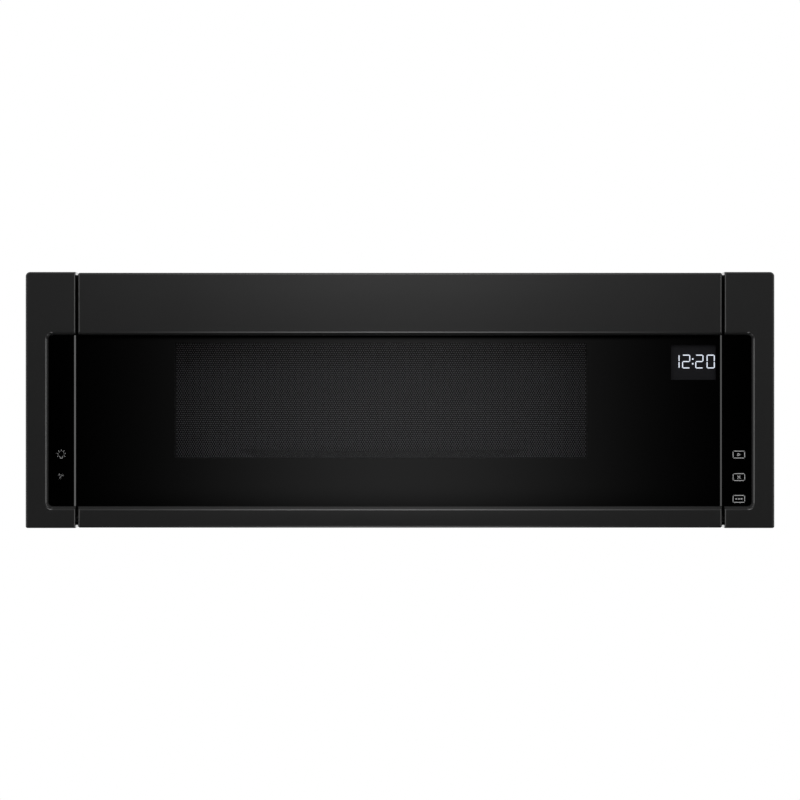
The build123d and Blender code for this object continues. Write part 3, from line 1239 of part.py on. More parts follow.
def noise_filter_board():
    """The input filter on posts on the tray, beside the rear panel."""
    back = PANEL_FRONT - BOARD_EDGE
    y = (back - INPUT_BOARD_WIDE, back)
    left = LINER_RIGHT + INPUT_BOARD_IN
    x = (left, left + INPUT_BOARD_LONG)
    low = TRAY_TOP + INPUT_BOARD_LIFT
    board = block(x, y, (low, low + BOARD))
    for foot_x in inset(x, POST_IN):
        board += rod_z(BOARD_POST, foot_x, sum(y) / 2, (TRAY_TOP, low))
    choke_x = centred(sum(x) / 2, INPUT_BOARD_LONG * 0.6)
    return board + rounded(choke_x, inset(y, BOARD_POST), (low, low + INPUT_CHOKE_HIGH), BOARD_POST)


def control_board():
    """The main board on posts behind the front plate, with its relays and small transformer."""
    x = (LINER_RIGHT + BOARD_EDGE, INNER_HALF - BOARD_EDGE)
    z = (TRAY_TOP + BOARD_LOW, BRACKET_LOW - BOARD_TOP)
    y = (PLATE_BACK + BOARD_STANDOFF, PLATE_BACK + BOARD_STANDOFF + BOARD)
    board = block(x, y, z)
    for post_x in inset(x, POST_IN):
        for post_z in inset(z, POST_IN):
            board += rod_y(BOARD_POST, post_x, (PLATE_BACK, y[0]), post_z)
    relay_top = z[1] - RELAY_DROP
    for index in range(RELAYS):
        left = x[0] + RELAY + index * RELAY_PITCH
        board += block((left, left + RELAY), (y[1], y[1] + RELAY_OUT), (relay_top - RELAY_TALL, relay_top))
    supply_right = x[1] - RELAY_DROP
    supply_top = z[1] - PANEL_SUPPLY_DROP
    supply_x = (supply_right - PANEL_SUPPLY, supply_right)
    supply_z = (supply_top - PANEL_SUPPLY, supply_top)
    return board + block(supply_x, (y[1], y[1] + PANEL_SUPPLY_OUT), supply_z)


# ------------------------------------------------------------------ underside
def grease_filter(side):
    """An aluminium filter: a frame round a thinner pad."""
    x = centred(side * FILTER_X, FILTER_LONG)
    y = centred(FILTER_Y, FILTER_WIDE)
    z = (REVEAL, REVEAL + FILTER_THICK)
    frame = rounded(x, y, z, FILTER_ROUND)
    pad_x, pad_y = inset(x, FILTER_EDGE), inset(y, FILTER_EDGE)
    frame -= block(pad_x, pad_y, (z[0], z[0] + FILTER_DISH))
    return frame - block(pad_x, pad_y, (z[1] - FILTER_DISH, z[1]))


def cooktop_lamps():
    """The light boxes over both lenses."""
    boxes = []
    for side in (-1, 1):
        x = centred(side * LAMP_X, LAMP_LONG)
        y = centred(LAMP_Y, LAMP_WIDE)
        box = block(inset(x, -LAMP_EDGE), inset(y, -LAMP_EDGE), (BASE_TOP, BASE_TOP + LAMP_HIGH))
        boxes.append(box - block(x, y, (BASE_TOP, BASE_TOP + LAMP_HIGH - LAMP_ROOF)))
    return boxes


def cooktop_lenses():
    """The clear lenses that close the lamp openings from above the base's skin."""
    lenses = []
    for side in (-1, 1):
        x = centred(side * LAMP_X, LAMP_LONG)
        y = centred(LAMP_Y, LAMP_WIDE)
        lenses.append(block(x, y, (REVEAL, REVEAL + LENS)))
    return lenses


# ------------------------------------------------------------------ write every sub-part
os.makedirs("parts", exist_ok=True)

save("outer_case", *outer_case())
save("rear_panel", rear_panel())
save("base_plate", base_plate())
save("component_tray", component_tray())
save("wall_mounting_plate", wall_mounting_plate())
save("cabinet_bolt_nuts", *cabinet_bolt_nuts())
save("cord_gland", cord_gland())

save("right_column", right_column())
save("left_column", mirrored(right_column()))
save("right_column_glass", glass_piece((COLUMN_IN, WIDTH / 2)))
save("left_column_glass", mirrored(glass_piece((COLUMN_IN, WIDTH / 2))))
save("touch_boards", *both(touch_board()))
save("cabinet_screws", *column_screws(), *case_screws())

save("oven_cavity", *oven_cavity())
save("waveguide_cover", waveguide_cover())
save("cavity_lamp", cavity_lamp())
save("thermal_cutouts", *thermal_cutouts())

save("door_frame", door_frame())
save("door_glass", glass_piece((-DOOR_HALF, DOOR_HALF)))
save("door_choke_frame", door_choke_frame())
save("door_screen", door_screen())
save("inner_window", inner_window())
save("choke_cover", choke_cover())
save("display_module", display_module())
save("door_screws", *door_screws())
save("hinge_leaves", *both(hinge_leaf()))
save("hinge_pins", *both(hinge_pin()))
save("hinge_brackets", *both(hinge_bracket()))
save("hinge_dampers", *both(hinge_damper()))

save("latch_hook_right", latch_hook())
save("latch_hook_left", mirrored(latch_hook()))
save("latch_holders", *both(latch_holder()))
save("latch_brackets", *both(latch_bracket()))
save("interlock_switches", *both(interlock_switch()))
save("release_shaft", release_shaft())
save("solenoid_plunger", solenoid_plunger())
save("release_solenoid", release_solenoid())

save("turntable_motor", turntable_motor())
save("turntable_coupler", turntable_coupler())
save("turntable_plate", turntable_plate())
save("roller_ring", roller_ring())
for number in range(ROLLERS):
    save(f"roller_{number + 1}", roller(number))

save("blower_housings", *both(blower_housing()))
save("vent_blower_wheels", vent_blower_wheels())
save("blower_motor", blower_motor())
save("cooling_fan_housing", cooling_fan_housing())
save("cooling_fan_motor", cooling_fan_motor())
save("cooling_fan_wheel", cooling_fan_wheel())

save("waveguide", waveguide())
save("magnetron", magnetron())
save("high_voltage_transformer", high_voltage_transformer())
save("high_voltage_capacitor", high_voltage_capacitor())
save("noise_filter_board", noise_filter_board())
save("control_board", control_board())

save("grease_filter_left", grease_filter(-1))
save("grease_filter_right", grease_filter(1))
save("cooktop_lamps", *cooktop_lamps())
save("cooktop_lenses", *cooktop_lenses())
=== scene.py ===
"""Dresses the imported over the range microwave: studio, camera, materials and the finely detailed pieces.

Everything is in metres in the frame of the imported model: +Z up, the front faces -Y, +X on the viewer's right.
"""
import json
import math

import bmesh
import bpy
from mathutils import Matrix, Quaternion, Vector
from mathutils.geometry import tessellate_polygon


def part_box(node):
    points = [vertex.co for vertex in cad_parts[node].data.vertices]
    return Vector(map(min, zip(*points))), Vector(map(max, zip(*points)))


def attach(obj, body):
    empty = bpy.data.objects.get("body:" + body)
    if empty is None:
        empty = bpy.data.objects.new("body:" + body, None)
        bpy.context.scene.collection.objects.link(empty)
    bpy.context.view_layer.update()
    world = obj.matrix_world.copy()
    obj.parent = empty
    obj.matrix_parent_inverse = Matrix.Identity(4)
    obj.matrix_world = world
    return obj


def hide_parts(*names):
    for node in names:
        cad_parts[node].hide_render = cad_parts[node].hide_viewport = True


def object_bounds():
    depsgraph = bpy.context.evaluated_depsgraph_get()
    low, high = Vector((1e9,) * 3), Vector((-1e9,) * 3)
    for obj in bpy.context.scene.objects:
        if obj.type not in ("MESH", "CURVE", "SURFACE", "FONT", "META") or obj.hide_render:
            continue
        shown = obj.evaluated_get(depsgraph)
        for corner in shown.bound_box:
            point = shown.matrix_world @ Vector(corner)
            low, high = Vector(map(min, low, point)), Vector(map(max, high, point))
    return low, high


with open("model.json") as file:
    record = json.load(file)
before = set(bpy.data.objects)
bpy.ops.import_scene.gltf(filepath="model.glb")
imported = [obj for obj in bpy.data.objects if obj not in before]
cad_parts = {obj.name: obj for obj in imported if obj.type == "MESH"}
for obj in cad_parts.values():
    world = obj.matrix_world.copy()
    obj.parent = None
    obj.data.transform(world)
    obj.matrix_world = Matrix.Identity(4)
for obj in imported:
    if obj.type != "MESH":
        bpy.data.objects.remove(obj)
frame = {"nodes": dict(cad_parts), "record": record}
CAD_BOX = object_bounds()
NODES = frame["nodes"]
SLOT_OF = {part["node"]: part["material_slot"] for part in frame["record"]["subparts"]}
MM = 0.001

# ------------------------------------------------------------------ sizes of the added detail
PHOTO_SPAN = 811.8 * MM          # width of the picture at the front face
PHOTO_MIDDLE = 130.0 * MM        # height of the picture's middle
LENS_MM = 200.0
SENSOR_MM = 36.0
GROUND_WIDE = 1.6 * MM           # edge of the front glass, ground off beside the two gaps
GROUND_DEEP = 0.75 * MM
PRINT = 0.03 * MM                # the printed symbols stand this far in front of the glass
BOW_HIGH = 17.7 * MM             # the upper end of the glass bows forward by a hair
BOW = 0.21 * MM
BOW_STEPS = 12
CORNER_STEPS = 8
LAYER = 0.05 * MM                # between thin layers that lie on each other
SCREEN_PITCH = 2.4 * MM
SCREEN_HOLE = 0.78 * MM
SCREEN_EDGE = 5.0 * MM           # width of the screen's plain margin
HOLES_START = 3.0 * MM           # the holes start under the margin, this far from the screen's edge
WINDOW_IN_SCREEN = 7.0 * MM      # the screen reaches this far past the window
DISPLAY_LAP = (2.0 * MM, 1.5 * MM)   # the display's case laps its opening: at the low side, at the high side
COLUMN_ROUND = 4.3 * MM          # outer corners of the columns' glass
FILTER_FRAME = 9.3 * MM          # width of a grease filter's frame
MESH_PITCH = 5.0 * MM            # between the strands of the filter's mesh
MESH_SLOPE = 0.55
MESH_IN_DISH = 1.2 * MM          # the mesh lies this far inside the filter's faces
MESH_CROSS = 0.25 * MM           # the two directions of strands cross this far above or below that
STRAND_WIDE = 1.1 * MM
STRAND_THICK = 0.5 * MM
LENS_LONG = 72.0 * MM
LENS_RIB = 3.0 * MM
RIB_DEEP = 0.7 * MM
HEAD_HIGH = 1.5 * MM             # head of a pan screw
THREAD_PITCH = 1.3 * MM
SCREW_SIDES = 24
SCREW_TURN = 0.7                 # radians from one screw's cross to the next one's
CROSS_THIN = 0.12                # half widths of the cross in a head, as shares of the head's radius
CROSS_LONG = 0.55
CROSS_TAPER = 0.7                # the recess's floor against its rim
CROSS_FLOOR = 0.35               # height of that floor, as a share of the head's
END_DEEP = 0.3 * MM              # corners this near to a screw's end belong to it
WELD = 0.001 * MM                # corners closer than this are one
PLATE_SKIN = 1.5 * MM            # the cabinet's front plate, dark as its own enamel and as painted shade in the door gaps, reaches this far behind its face

# ------------------------------------------------------------------ places of the printed and lit marks
DIGITS = (("1", 275.8 * MM), ("2", 286.7 * MM), ("2", 300.1 * MM), ("0", 311.6 * MM))   # with left edges
DIGITS_LOW = 162.1 * MM
DIGIT_HIGH = 14.0 * MM
DIGIT_WIDE = 8.3 * MM
BAR_THICK = 1.0 * MM
BAR_GAP = 0.3 * MM
COLON_X = 297.5 * MM
COLON_HALF = 0.75 * MM
COLON_RISES = (0.34, 0.68)       # its dots, as shares of a digit's height
LEFT_SYMBOLS_X = -344.0 * MM
LIGHT_Z = 75.0 * MM
FAN_SHIFT = -0.6 * MM            # the fan stands this far left of the light's middle
FAN_Z = 52.9 * MM
KEYS_X = 344.2 * MM
KEYS_Z = (74.6 * MM, 51.7 * MM, 29.6 * MM)
KEY_WIDE = 11.7 * MM
KEY_HIGH = 7.0 * MM
KEY_ROUND = 0.35 * MM
SYMBOL_LINE = 0.55 * MM          # widths of the printed lines
KEY_LINE = 0.72 * MM

# ------------------------------------------------------------------ light
# Directions are unit vectors, so a bound on x, y or z is the sine of an angle. The white backdrop has
# strength 1. A band is (from, to, soft edge), and a step is (from, to, value before, value after).
STRIP_STRENGTH = 0.42
STRIP_SPREAD = 0.030
STRIP_WIDENS = (0.012, 0.022, 1.0, 0.88)
STRIP_CUT = 0.04                 # taken off the strip's fading sides, so that they end
STRIP_FOOT = (-0.030, -0.0185)
STRIP_GRADES = ((0.0125, 0.0160, 0.0, -0.45), (0.0166, 0.0190, 0.0, 0.25), (0.020, 0.028, 0.0, 0.5))
STRIP_ABOVE = (0.05, 0.12, 0.0, 9.0)   # only rounded edges mirror this part to the camera
STRIP_HEAD = (0.45, 0.35)
STRIP_BELOW = (-0.66, -0.34, 0.14)     # and this one
STRIP_BELOW_STRENGTH = 7.5
STRIP_BEHIND_STRENGTH = 6.0
BOX_SIDE, BOX_RISE = (0.48, 0.74, 0.08), (-0.20, 0.40, 0.10)
BOX_STRENGTH = 0.9
CORNER_SIDE, CORNER_RISE = (0.33, 0.50, 0.06), (0.38, 0.56, 0.06)
CORNER_STRENGTH = 1.3
SLIT_SIDE, SLIT_RISE = (0.66, 0.91, 0.06), (0.14, 0.08)
SLIT_STRENGTH = 1.9
SKY_RISE, SKY_FADE = (0.05, 0.25, 0.0, 0.2), (0.8, 0.5, 0.3, 1.0)
SKY_BEHIND_STRENGTH = 0.5
GROUND_RISE = (-0.40, -0.60)
GROUND_STRENGTH = 0.24
BACKDROP_RISE = (-0.3, -0.05)
LAMP_SIZE = (2.4, 0.8)
LAMP_WATTS = 7.2
LAMP_PLACE = (0, -0.82, 0.84)
LAMP_AIM = (0, -0.23, 0.13)
FLOOR_RADIUS = 12.0
FLOOR_Z = -1.45

# ------------------------------------------------------------------ surfaces
NOISE_SPAN = (0.3, 0.7)          # where most of a noise's values lie


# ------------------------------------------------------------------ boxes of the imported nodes
def span(node_name, axis):
    """Lowest and highest value of a node on one axis."""
    low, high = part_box(node_name)
    return (low[axis], high[axis])


def grown(values, by):
    """A span, longer at both ends."""
    return (values[0] - by, values[1] + by)


# ------------------------------------------------------------------ node trees
def feed(tree, socket, value):
    """Link a socket, or set its value."""
    if isinstance(value, bpy.types.NodeSocket):
        tree.links.new(value, socket)
    else:
        socket.default_value = value


def node(tree, kind, inputs=None, **settings):
    """Add a node with its settings and inputs."""
    made = tree.nodes.new(kind)
    for key, value in settings.items():
        setattr(made, key, value)
    for key, value in (inputs or {}).items():
        feed(tree, made.inputs[key], value)
    return made


def maths(tree, operation, first, second=0.0):
    """The result of one sum on two values."""
    return node(tree, "ShaderNodeMath", {0: first, 1: second}, operation=operation).outputs[0]


def ramp(tree, value, low, high, start=0.0, end=1.0):
    """A smooth step from start to end while value goes from low to high."""
    made = node(tree, "ShaderNodeMapRange", {0: value, 1: low, 2: high, 3: start, 4: end})
    made.interpolation_type = "SMOOTHSTEP"
    return made.outputs[0]


def product(tree, *values):
    """All the values multiplied."""
    result = values[0]
    for value in values[1:]:
        result = maths(tree, "MULTIPLY", result, value)
    return result


def total(tree, *values):
    """All the values added."""
    result = values[0]
    for value in values[1:]:
        result = maths(tree, "ADD", result, value)
    return result


def band(tree, value, low, high, soft):
    """A window that is 1 from low to high and fades out over a soft edge beyond each."""
    return product(tree, ramp(tree, value, low - soft, low), ramp(tree, value, high + soft, high))


# ------------------------------------------------------------------ studio
def linked(name, data):
    """A new object in the scene."""
    made = bpy.data.objects.new(name, data)
    bpy.context.scene.collection.objects.link(made)
    return made


def middle_strip(tree, x, z, ahead, behind):
    """A narrow light in the object's middle plane, from low in front over the top to behind."""
    offset = product(tree, x, ramp(tree, z, *STRIP_WIDENS))
    square = maths(tree, "MULTIPLY", offset, offset)
    across = maths(tree, "EXPONENT", maths(tree, "DIVIDE", square, -2 * STRIP_SPREAD ** 2))
    across = maths(tree, "SUBTRACT", maths(tree, "MULTIPLY", across, 1 + STRIP_CUT), STRIP_CUT)
    across = maths(tree, "MAXIMUM", across, 0.0)
    level = total(tree, 1.0, *(ramp(tree, z, *grade) for grade in STRIP_GRADES))
    above = product(tree, ramp(tree, z, *STRIP_ABOVE), ramp(tree, z, *STRIP_HEAD))
    below = product(tree, band(tree, z, *STRIP_BELOW), STRIP_BELOW_STRENGTH)
    front = total(tree, product(tree, ramp(tree, z, *STRIP_FOOT), total(tree, level, above)), below)
    whole = total(tree, product(tree, front, ahead), product(tree, behind, STRIP_BEHIND_STRENGTH))
    return product(tree, whole, across, STRIP_STRENGTH)


def side_lights(tree, x, z, ahead, glossy):
    """A softbox on each side, and small lights that only polished edges and corners mirror."""
    side, rise = maths(tree, "ABSOLUTE", x), maths(tree, "ABSOLUTE", z)
    boxes = product(tree, band(tree, side, *BOX_SIDE), band(tree, z, *BOX_RISE), BOX_STRENGTH)
    corners = product(tree, band(tree, side, *CORNER_SIDE), band(tree, rise, *CORNER_RISE), CORNER_STRENGTH)
    slits = product(tree, band(tree, side, *SLIT_SIDE), ramp(tree, rise, *SLIT_RISE), SLIT_STRENGTH)
    glints = product(tree, total(tree, corners, slits), glossy)
    return product(tree, total(tree, boxes, glints), ahead)


def surroundings(tree, x, y, z, behind):
    """Faint sky, pale ground beside and behind the object, and the white backdrop."""
    sky = product(tree, ramp(tree, z, *SKY_RISE), ramp(tree, z, *SKY_FADE))
    beside = ramp(tree, maths(tree, "ABSOLUTE", x), 0.2, 0.4)
    off_middle = maths(tree, "MAXIMUM", ramp(tree, y, -0.1, 0.2), beside)
    ground = product(tree, ramp(tree, z, *GROUND_RISE), off_middle, GROUND_STRENGTH)
    backdrop = product(tree, ramp(tree, y, 0.1, 0.6), ramp(tree, z, *BACKDROP_RISE))
    return total(tree, sky, product(tree, behind, SKY_BEHIND_STRENGTH), ground, backdrop)


def studio():
    """The world: white to the camera, and lights on a dark ground to everything else."""
    world = bpy.data.worlds.new("studio")
    bpy.context.scene.world = world
    world.use_nodes = True
    tree = world.node_tree
    tree.nodes.clear()
    direction = node(tree, "ShaderNodeTexCoord").outputs["Generated"]
    x, y, z = node(tree, "ShaderNodeSeparateXYZ", {0: direction}).outputs
    path = node(tree, "ShaderNodeLightPath").outputs
    ahead = ramp(tree, y, 0.1, 0.0)
    behind = product(tree, ramp(tree, y, -0.03, 0.03), ramp(tree, z, 0.5, 0.7))
    light = total(tree, middle_strip(tree, x, z, ahead, behind),
                  side_lights(tree, x, z, ahead, path["Is Glossy Ray"]), surroundings(tree, x, y, z, behind))
    shade = node(tree, "ShaderNodeMix", {0: path["Is Camera Ray"], 2: light, 3: 1.0}, data_type="FLOAT")
    back = node(tree, "ShaderNodeBackground", {"Color": (1, 1, 1, 1), "Strength": shade.outputs[0]})
    node(tree, "ShaderNodeOutputWorld", {0: back.outputs[0]})
    view = bpy.context.scene.view_settings
    view.view_transform = "Standard"
    view.look = "None"


def overhead_lamp():
    """A broad soft lamp in front and above, which lights the upper edge a little more than the lower one."""
    data = bpy.data.lights.new("overhead", "AREA")
    data.shape = "RECTANGLE"
    data.size, data.size_y = LAMP_SIZE
    data.energy = LAMP_WATTS
    made = linked("overhead", data)
    made.location = LAMP_PLACE
    made.rotation_euler = (Vector(LAMP_AIM) - made.location).to_track_quat("-Z", "Y").to_euler()
    made.visible_glossy = False
    made.visible_camera = False


def camera():
    """A long lens, straight on to the front, as far off as the picture's span asks."""
    data = bpy.data.cameras.new("camera")
    data.lens = LENS_MM
    data.sensor_width = SENSOR_MM
    half = SENSOR_MM / 2 / LENS_MM
    away = PHOTO_SPAN / 2 / half
    made = linked("camera", data)
    made.location = (0, CAD_BOX[0].y - away, PHOTO_MIDDLE)
    made.rotation_euler = (math.pi / 2, 0, 0)
    data.clip_start = 0.1
    data.clip_end = 100
    bpy.context.scene.camera = made


def floor():
    """A round pale floor far below the cabinet, clear from below."""
    mesh = bpy.data.meshes.new("floor")
    shape = bmesh.new()
    bmesh.ops.create_circle(shape, cap_ends=True, segments=96, radius=FLOOR_RADIUS)
    shape.to_mesh(mesh)
    shape.free()
    made = linked("floor", mesh)
    made.location.z = FLOOR_Z
    material, tree = blank_material("floor")
    grain = node(tree, "ShaderNodeTexNoise", {"Scale": 3.0, "Detail": 6.0}).outputs["Fac"]
    tone = node(tree, "ShaderNodeMix", {0: grain, 6: (0.80, 0.80, 0.79, 1), 7: (0.84, 0.84, 0.83, 1)},
                data_type="RGBA").outputs[2]
    matt = node(tree, "ShaderNodeBsdfDiffuse", {"Color": tone})
    clear = node(tree, "ShaderNodeBsdfTransparent")
    under = node(tree, "ShaderNodeNewGeometry").outputs["Backfacing"]
    both = node(tree, "ShaderNodeMixShader", {0: under, 1: matt.outputs[0], 2: clear.outputs[0]})
    node(tree, "ShaderNodeOutputMaterial", {0: both.outputs[0]})
    mesh.materials.append(material)
    made.visible_glossy = False
    made.visible_diffuse = False


# ------------------------------------------------------------------ materials
def blank_material(name):
    """A material with an empty node tree."""
    material = bpy.data.materials.new(name)
    material.use_nodes = True
    material.node_tree.nodes.clear()
    return material, material.node_tree


def new_material(name):
    """A node material with its Principled shader and output."""
    material, tree = blank_material(name)
    shader = node(tree, "ShaderNodeBsdfPrincipled")
    node(tree, "ShaderNodeOutputMaterial", {0: shader.outputs[0]})
    return material, tree, shader


def noise(tree, scale, detail=3.0, stretch=None):
    """Noise in the piece's own metres, with scale in features per metre."""
    place = node(tree, "ShaderNodeTexCoord").outputs["Object"]
    if stretch:
        place = node(tree, "ShaderNodeMapping", {"Vector": place, "Scale": stretch}).outputs[0]
    made = node(tree, "ShaderNodeTexNoise", {"Vector": place, "Scale": scale, "Detail": detail})
    return made.outputs["Fac"]


def tint(tree, fac, dark, light):
    """A colour between two others."""
    made = node(tree, "ShaderNodeMix", {0: fac, 6: (*dark, 1), 7: (*light, 1)}, data_type="RGBA")
    return made.outputs[2]


def bump(tree, shader, height, depth):
    """Relief of a depth in metres."""
    made = node(tree, "ShaderNodeBump", {"Strength": 1.0, "Distance": depth, "Height": height})
    tree.links.new(made.outputs[0], shader.inputs["Normal"])


def scaled(colour, by):
    """A colour, lighter or darker."""
    return tuple(part * by for part in colour)


def patchy(tree, scale, middle, by, detail=3.0):
    """A value that wanders from middle - by to middle + by over the surface."""
    return ramp(tree, noise(tree, scale, detail), *NOISE_SPAN, middle - by, middle + by)


def paint(name, colour, roughness, specular=0.25, coat=0.0, coat_roughness=0.1, peel=0.0006 * MM):
    """Sprayed paint: faint cloudiness, fine orange peel and a clear coat."""
    material, tree, shader = new_material(name)
    cloud = noise(tree, 14.0, 4.0)
    shader.inputs["Specular IOR Level"].default_value = specular
    shader.inputs["Coat Weight"].default_value = coat
    shader.inputs["Coat Roughness"].default_value = coat_roughness
    feed(tree, shader.inputs["Base Color"], tint(tree, cloud, scaled(colour, 0.93), scaled(colour, 1.07)))
    feed(tree, shader.inputs["Roughness"], patchy(tree, 60.0, roughness, 0.04))
    bump(tree, shader, noise(tree, 900.0, 2.0), peel)
    return material


def enamel(name, inside, plate_shade_colour):
    """Glossy speckled enamel in the oven, and on the cabinet's front plate a dull dark enamel that is also
    painted shade for the door gaps in front of it.
    """
    material = paint(name, inside, 0.32, 0.25, 0.4, 0.12, 0.002 * MM)
    tree = material.node_tree
    shader = tree.nodes["Principled BSDF"]
    place = node(tree, "ShaderNodeTexCoord").outputs["Object"]
    depth = node(tree, "ShaderNodeSeparateXYZ", {0: place}).outputs[1]
    plate_shade_mask = maths(tree, "LESS_THAN", depth, span("oven_cavity", 1)[0] + PLATE_SKIN)
    speck = ramp(tree, noise(tree, 700.0, 1.0), 0.62, 0.72)
    colour = tint(tree, speck, inside, scaled(inside, 0.6))
    # Painted shade: the front plate's near-black colour, without gloss, also stands in for the shade deep in
    # the door gaps.
    both = node(tree, "ShaderNodeMix", {0: plate_shade_mask, 6: colour, 7: (*plate_shade_colour, 1)}, data_type="RGBA")
    feed(tree, shader.inputs["Base Color"], both.outputs[2])
    feed(tree, shader.inputs["Specular IOR Level"], ramp(tree, plate_shade_mask, 0.0, 1.0, 0.25, 0.0))
    feed(tree, shader.inputs["Coat Weight"], ramp(tree, plate_shade_mask, 0.0, 1.0, 0.4, 0.0))
    return material


def plastic(name, colour, roughness, grain=0.01 * MM, specular=0.5):
    """Moulded plastic with a fine spark-eroded grain."""
    material, tree, shader = new_material(name)
    cloud = noise(tree, 35.0)
    shader.inputs["Specular IOR Level"].default_value = specular
    feed(tree, shader.inputs["Base Color"], tint(tree, cloud, scaled(colour, 0.94), scaled(colour, 1.06)))
    feed(tree, shader.inputs["Roughness"], patchy(tree, 300.0, roughness, 0.06))
    bump(tree, shader, noise(tree, 2500.0, 2.0), grain)
    return material


def metal(name, colour, roughness, brushed=None):
    """Bare metal with faint stains, and brush lines along an axis where it is rolled or drawn."""
    material, tree, shader = new_material(name)
    shader.inputs["Metallic"].default_value = 1.0
    stain = noise(tree, 22.0, 5.0)
    feed(tree, shader.inputs["Base Color"], tint(tree, stain, scaled(colour, 0.86), colour))
    feed(tree, shader.inputs["Roughness"], patchy(tree, 80.0, roughness, 0.07, 4.0))
    lines = noise(tree, 400.0, 2.0, brushed or (1, 1, 1))
    bump(tree, shader, lines, 0.006 * MM)
    return material


def galvanised(name):
    """Zinc-coated sheet with its crystal spangle."""
    material, tree, shader = new_material(name)
    place = node(tree, "ShaderNodeTexCoord").outputs["Object"]
    warp = node(tree, "ShaderNodeTexNoise", {"Vector": place, "Scale": 60.0}).outputs["Color"]
    mixed = node(tree, "ShaderNodeMix", {0: 0.02, 4: place, 5: warp}, data_type="VECTOR").outputs[1]
    cells = node(tree, "ShaderNodeTexVoronoi", {"Vector": mixed, "Scale": 190.0})
    flake = node(tree, "ShaderNodeSeparateColor", {0: cells.outputs["Color"]})
    shader.inputs["Metallic"].default_value = 1.0
    zinc = tint(tree, flake.outputs[0], (0.46, 0.47, 0.48), (0.66, 0.67, 0.68))
    feed(tree, shader.inputs["Base Color"], zinc)
    feed(tree, shader.inputs["Roughness"], ramp(tree, flake.outputs[1], 0.0, 1.0, 0.34, 0.52))
    bump(tree, shader, flake.outputs[2], 0.004 * MM)
    return material


def thin_glass(name, tone, gloss=0.0):
    """Flat glass that lets light straight through, tinted once at each face."""
    material, tree = blank_material(name)
    smear = ramp(tree, noise(tree, 9.0, 5.0), 0.35, 0.75, gloss, gloss + 0.015)
    mirror = node(tree, "ShaderNodeBsdfGlossy", {"Roughness": smear})
    clear = node(tree, "ShaderNodeBsdfTransparent", {"Color": (*tone, 1)})
    front = maths(tree, "SUBTRACT", 1.0, node(tree, "ShaderNodeNewGeometry").outputs["Backfacing"])
    share = product(tree, node(tree, "ShaderNodeFresnel", {"IOR": 1.5}).outputs[0], front)
    both = node(tree, "ShaderNodeMixShader", {0: share, 1: clear.outputs[0], 2: mirror.outputs[0]})
    node(tree, "ShaderNodeOutputMaterial", {0: both.outputs[0]})
    return material


def printed_glass(name):
    """Flat glass with a black print fused to its back."""
    material, tree, shader = new_material(name)
    feed(tree, shader.inputs["Base Color"], tint(tree, noise(tree, 9.0), (0.0003,) * 3, (0.0006,) * 3))
    feed(tree, shader.inputs["Roughness"], ramp(tree, noise(tree, 9.0, 5.0), 0.35, 0.75, 0.0, 0.02))
    return material


def solid_glass(name, colour, roughness):
    """Thick pressed glass with faint ripples."""
    material, tree, shader = new_material(name)
    shader.inputs["Transmission Weight"].default_value = 1.0
    shader.inputs["IOR"].default_value = 1.5
    feed(tree, shader.inputs["Base Color"], tint(tree, noise(tree, 12.0), scaled(colour, 0.97), colour))
    ripple = ramp(tree, noise(tree, 40.0), *NOISE_SPAN, roughness, roughness + 0.03)
    feed(tree, shader.inputs["Roughness"], ripple)
    bump(tree, shader, noise(tree, 70.0, 1.0), 0.02 * MM)
    return material


def lit(name, colour, strength):
    """A lit segment, a little uneven across its width."""
    material, tree, shader = new_material(name)
    shader.inputs["Base Color"].default_value = (0.02, 0.02, 0.02, 1)
    shader.inputs["Emission Color"].default_value = (*colour, 1)
    uneven = ramp(tree, noise(tree, 900.0), 0.2, 0.8, strength * 0.85, strength)
    feed(tree, shader.inputs["Emission Strength"], uneven)
    return material


FINISHES = {
    "front_paint": paint("front_paint", (0.030, 0.030, 0.030), 0.42, 0.0, 1.0, 0.03),
    "case_paint": paint("case_paint", (0.035, 0.035, 0.036), 0.5, 0.25, 0.3, 0.3, 0.003 * MM),
    "galvanised": galvanised("galvanised"),
    # The second colour is the front plate's: partly its own dark enamel, partly painted shade in the door gaps.
    "oven_enamel": enamel("oven_enamel", (0.50, 0.51, 0.51), (0.012, 0.012, 0.012)),
    "pan_steel": paint("pan_steel", (0.020, 0.020, 0.021), 0.4, 0.25, 0.2, 0.2, 0.002 * MM),
    "front_glass": thin_glass("front_glass", (0.85, 0.85, 0.86)),
    "clear_sheet": thin_glass("clear_sheet", (0.97, 0.98, 0.98), 0.01),
    "turntable_glass": solid_glass("turntable_glass", (0.93, 0.97, 0.96), 0.02),
    "black_plastic": plastic("black_plastic", (0.018, 0.018, 0.019), 0.45),
    "white_plastic": plastic("white_plastic", (0.72, 0.72, 0.70), 0.42),
    "grey_plastic": plastic("grey_plastic", (0.30, 0.31, 0.32), 0.45),
    "board_green": plastic("board_green", (0.02, 0.11, 0.04), 0.35),
    "screw_steel": metal("screw_steel", (0.55, 0.55, 0.54), 0.3),
    "bright_steel": metal("bright_steel", (0.58, 0.58, 0.57), 0.28, (1, 0.05, 1)),
    "core_steel": metal("core_steel", (0.26, 0.26, 0.27), 0.42, (1, 1, 6)),
    "filter_aluminium": metal("filter_aluminium", (0.72, 0.73, 0.74), 0.34),
    "mica": plastic("mica", (0.42, 0.38, 0.32), 0.3),
    "lamp_glass": thin_glass("lamp_glass", (0.93, 0.93, 0.92), 0.25),
    "aluminium_can": metal("aluminium_can", (0.68, 0.69, 0.70), 0.3, (1, 1, 0.05)),
}
PRINTED_GLASS = printed_glass("printed_glass")
PRINTED_GREY = plastic("printed_grey", (0.62, 0.62, 0.62), 0.5, 0.001 * MM)
SCREEN_PAINT = paint("screen_paint", (0.044, 0.044, 0.044), 0.5, 0.0)
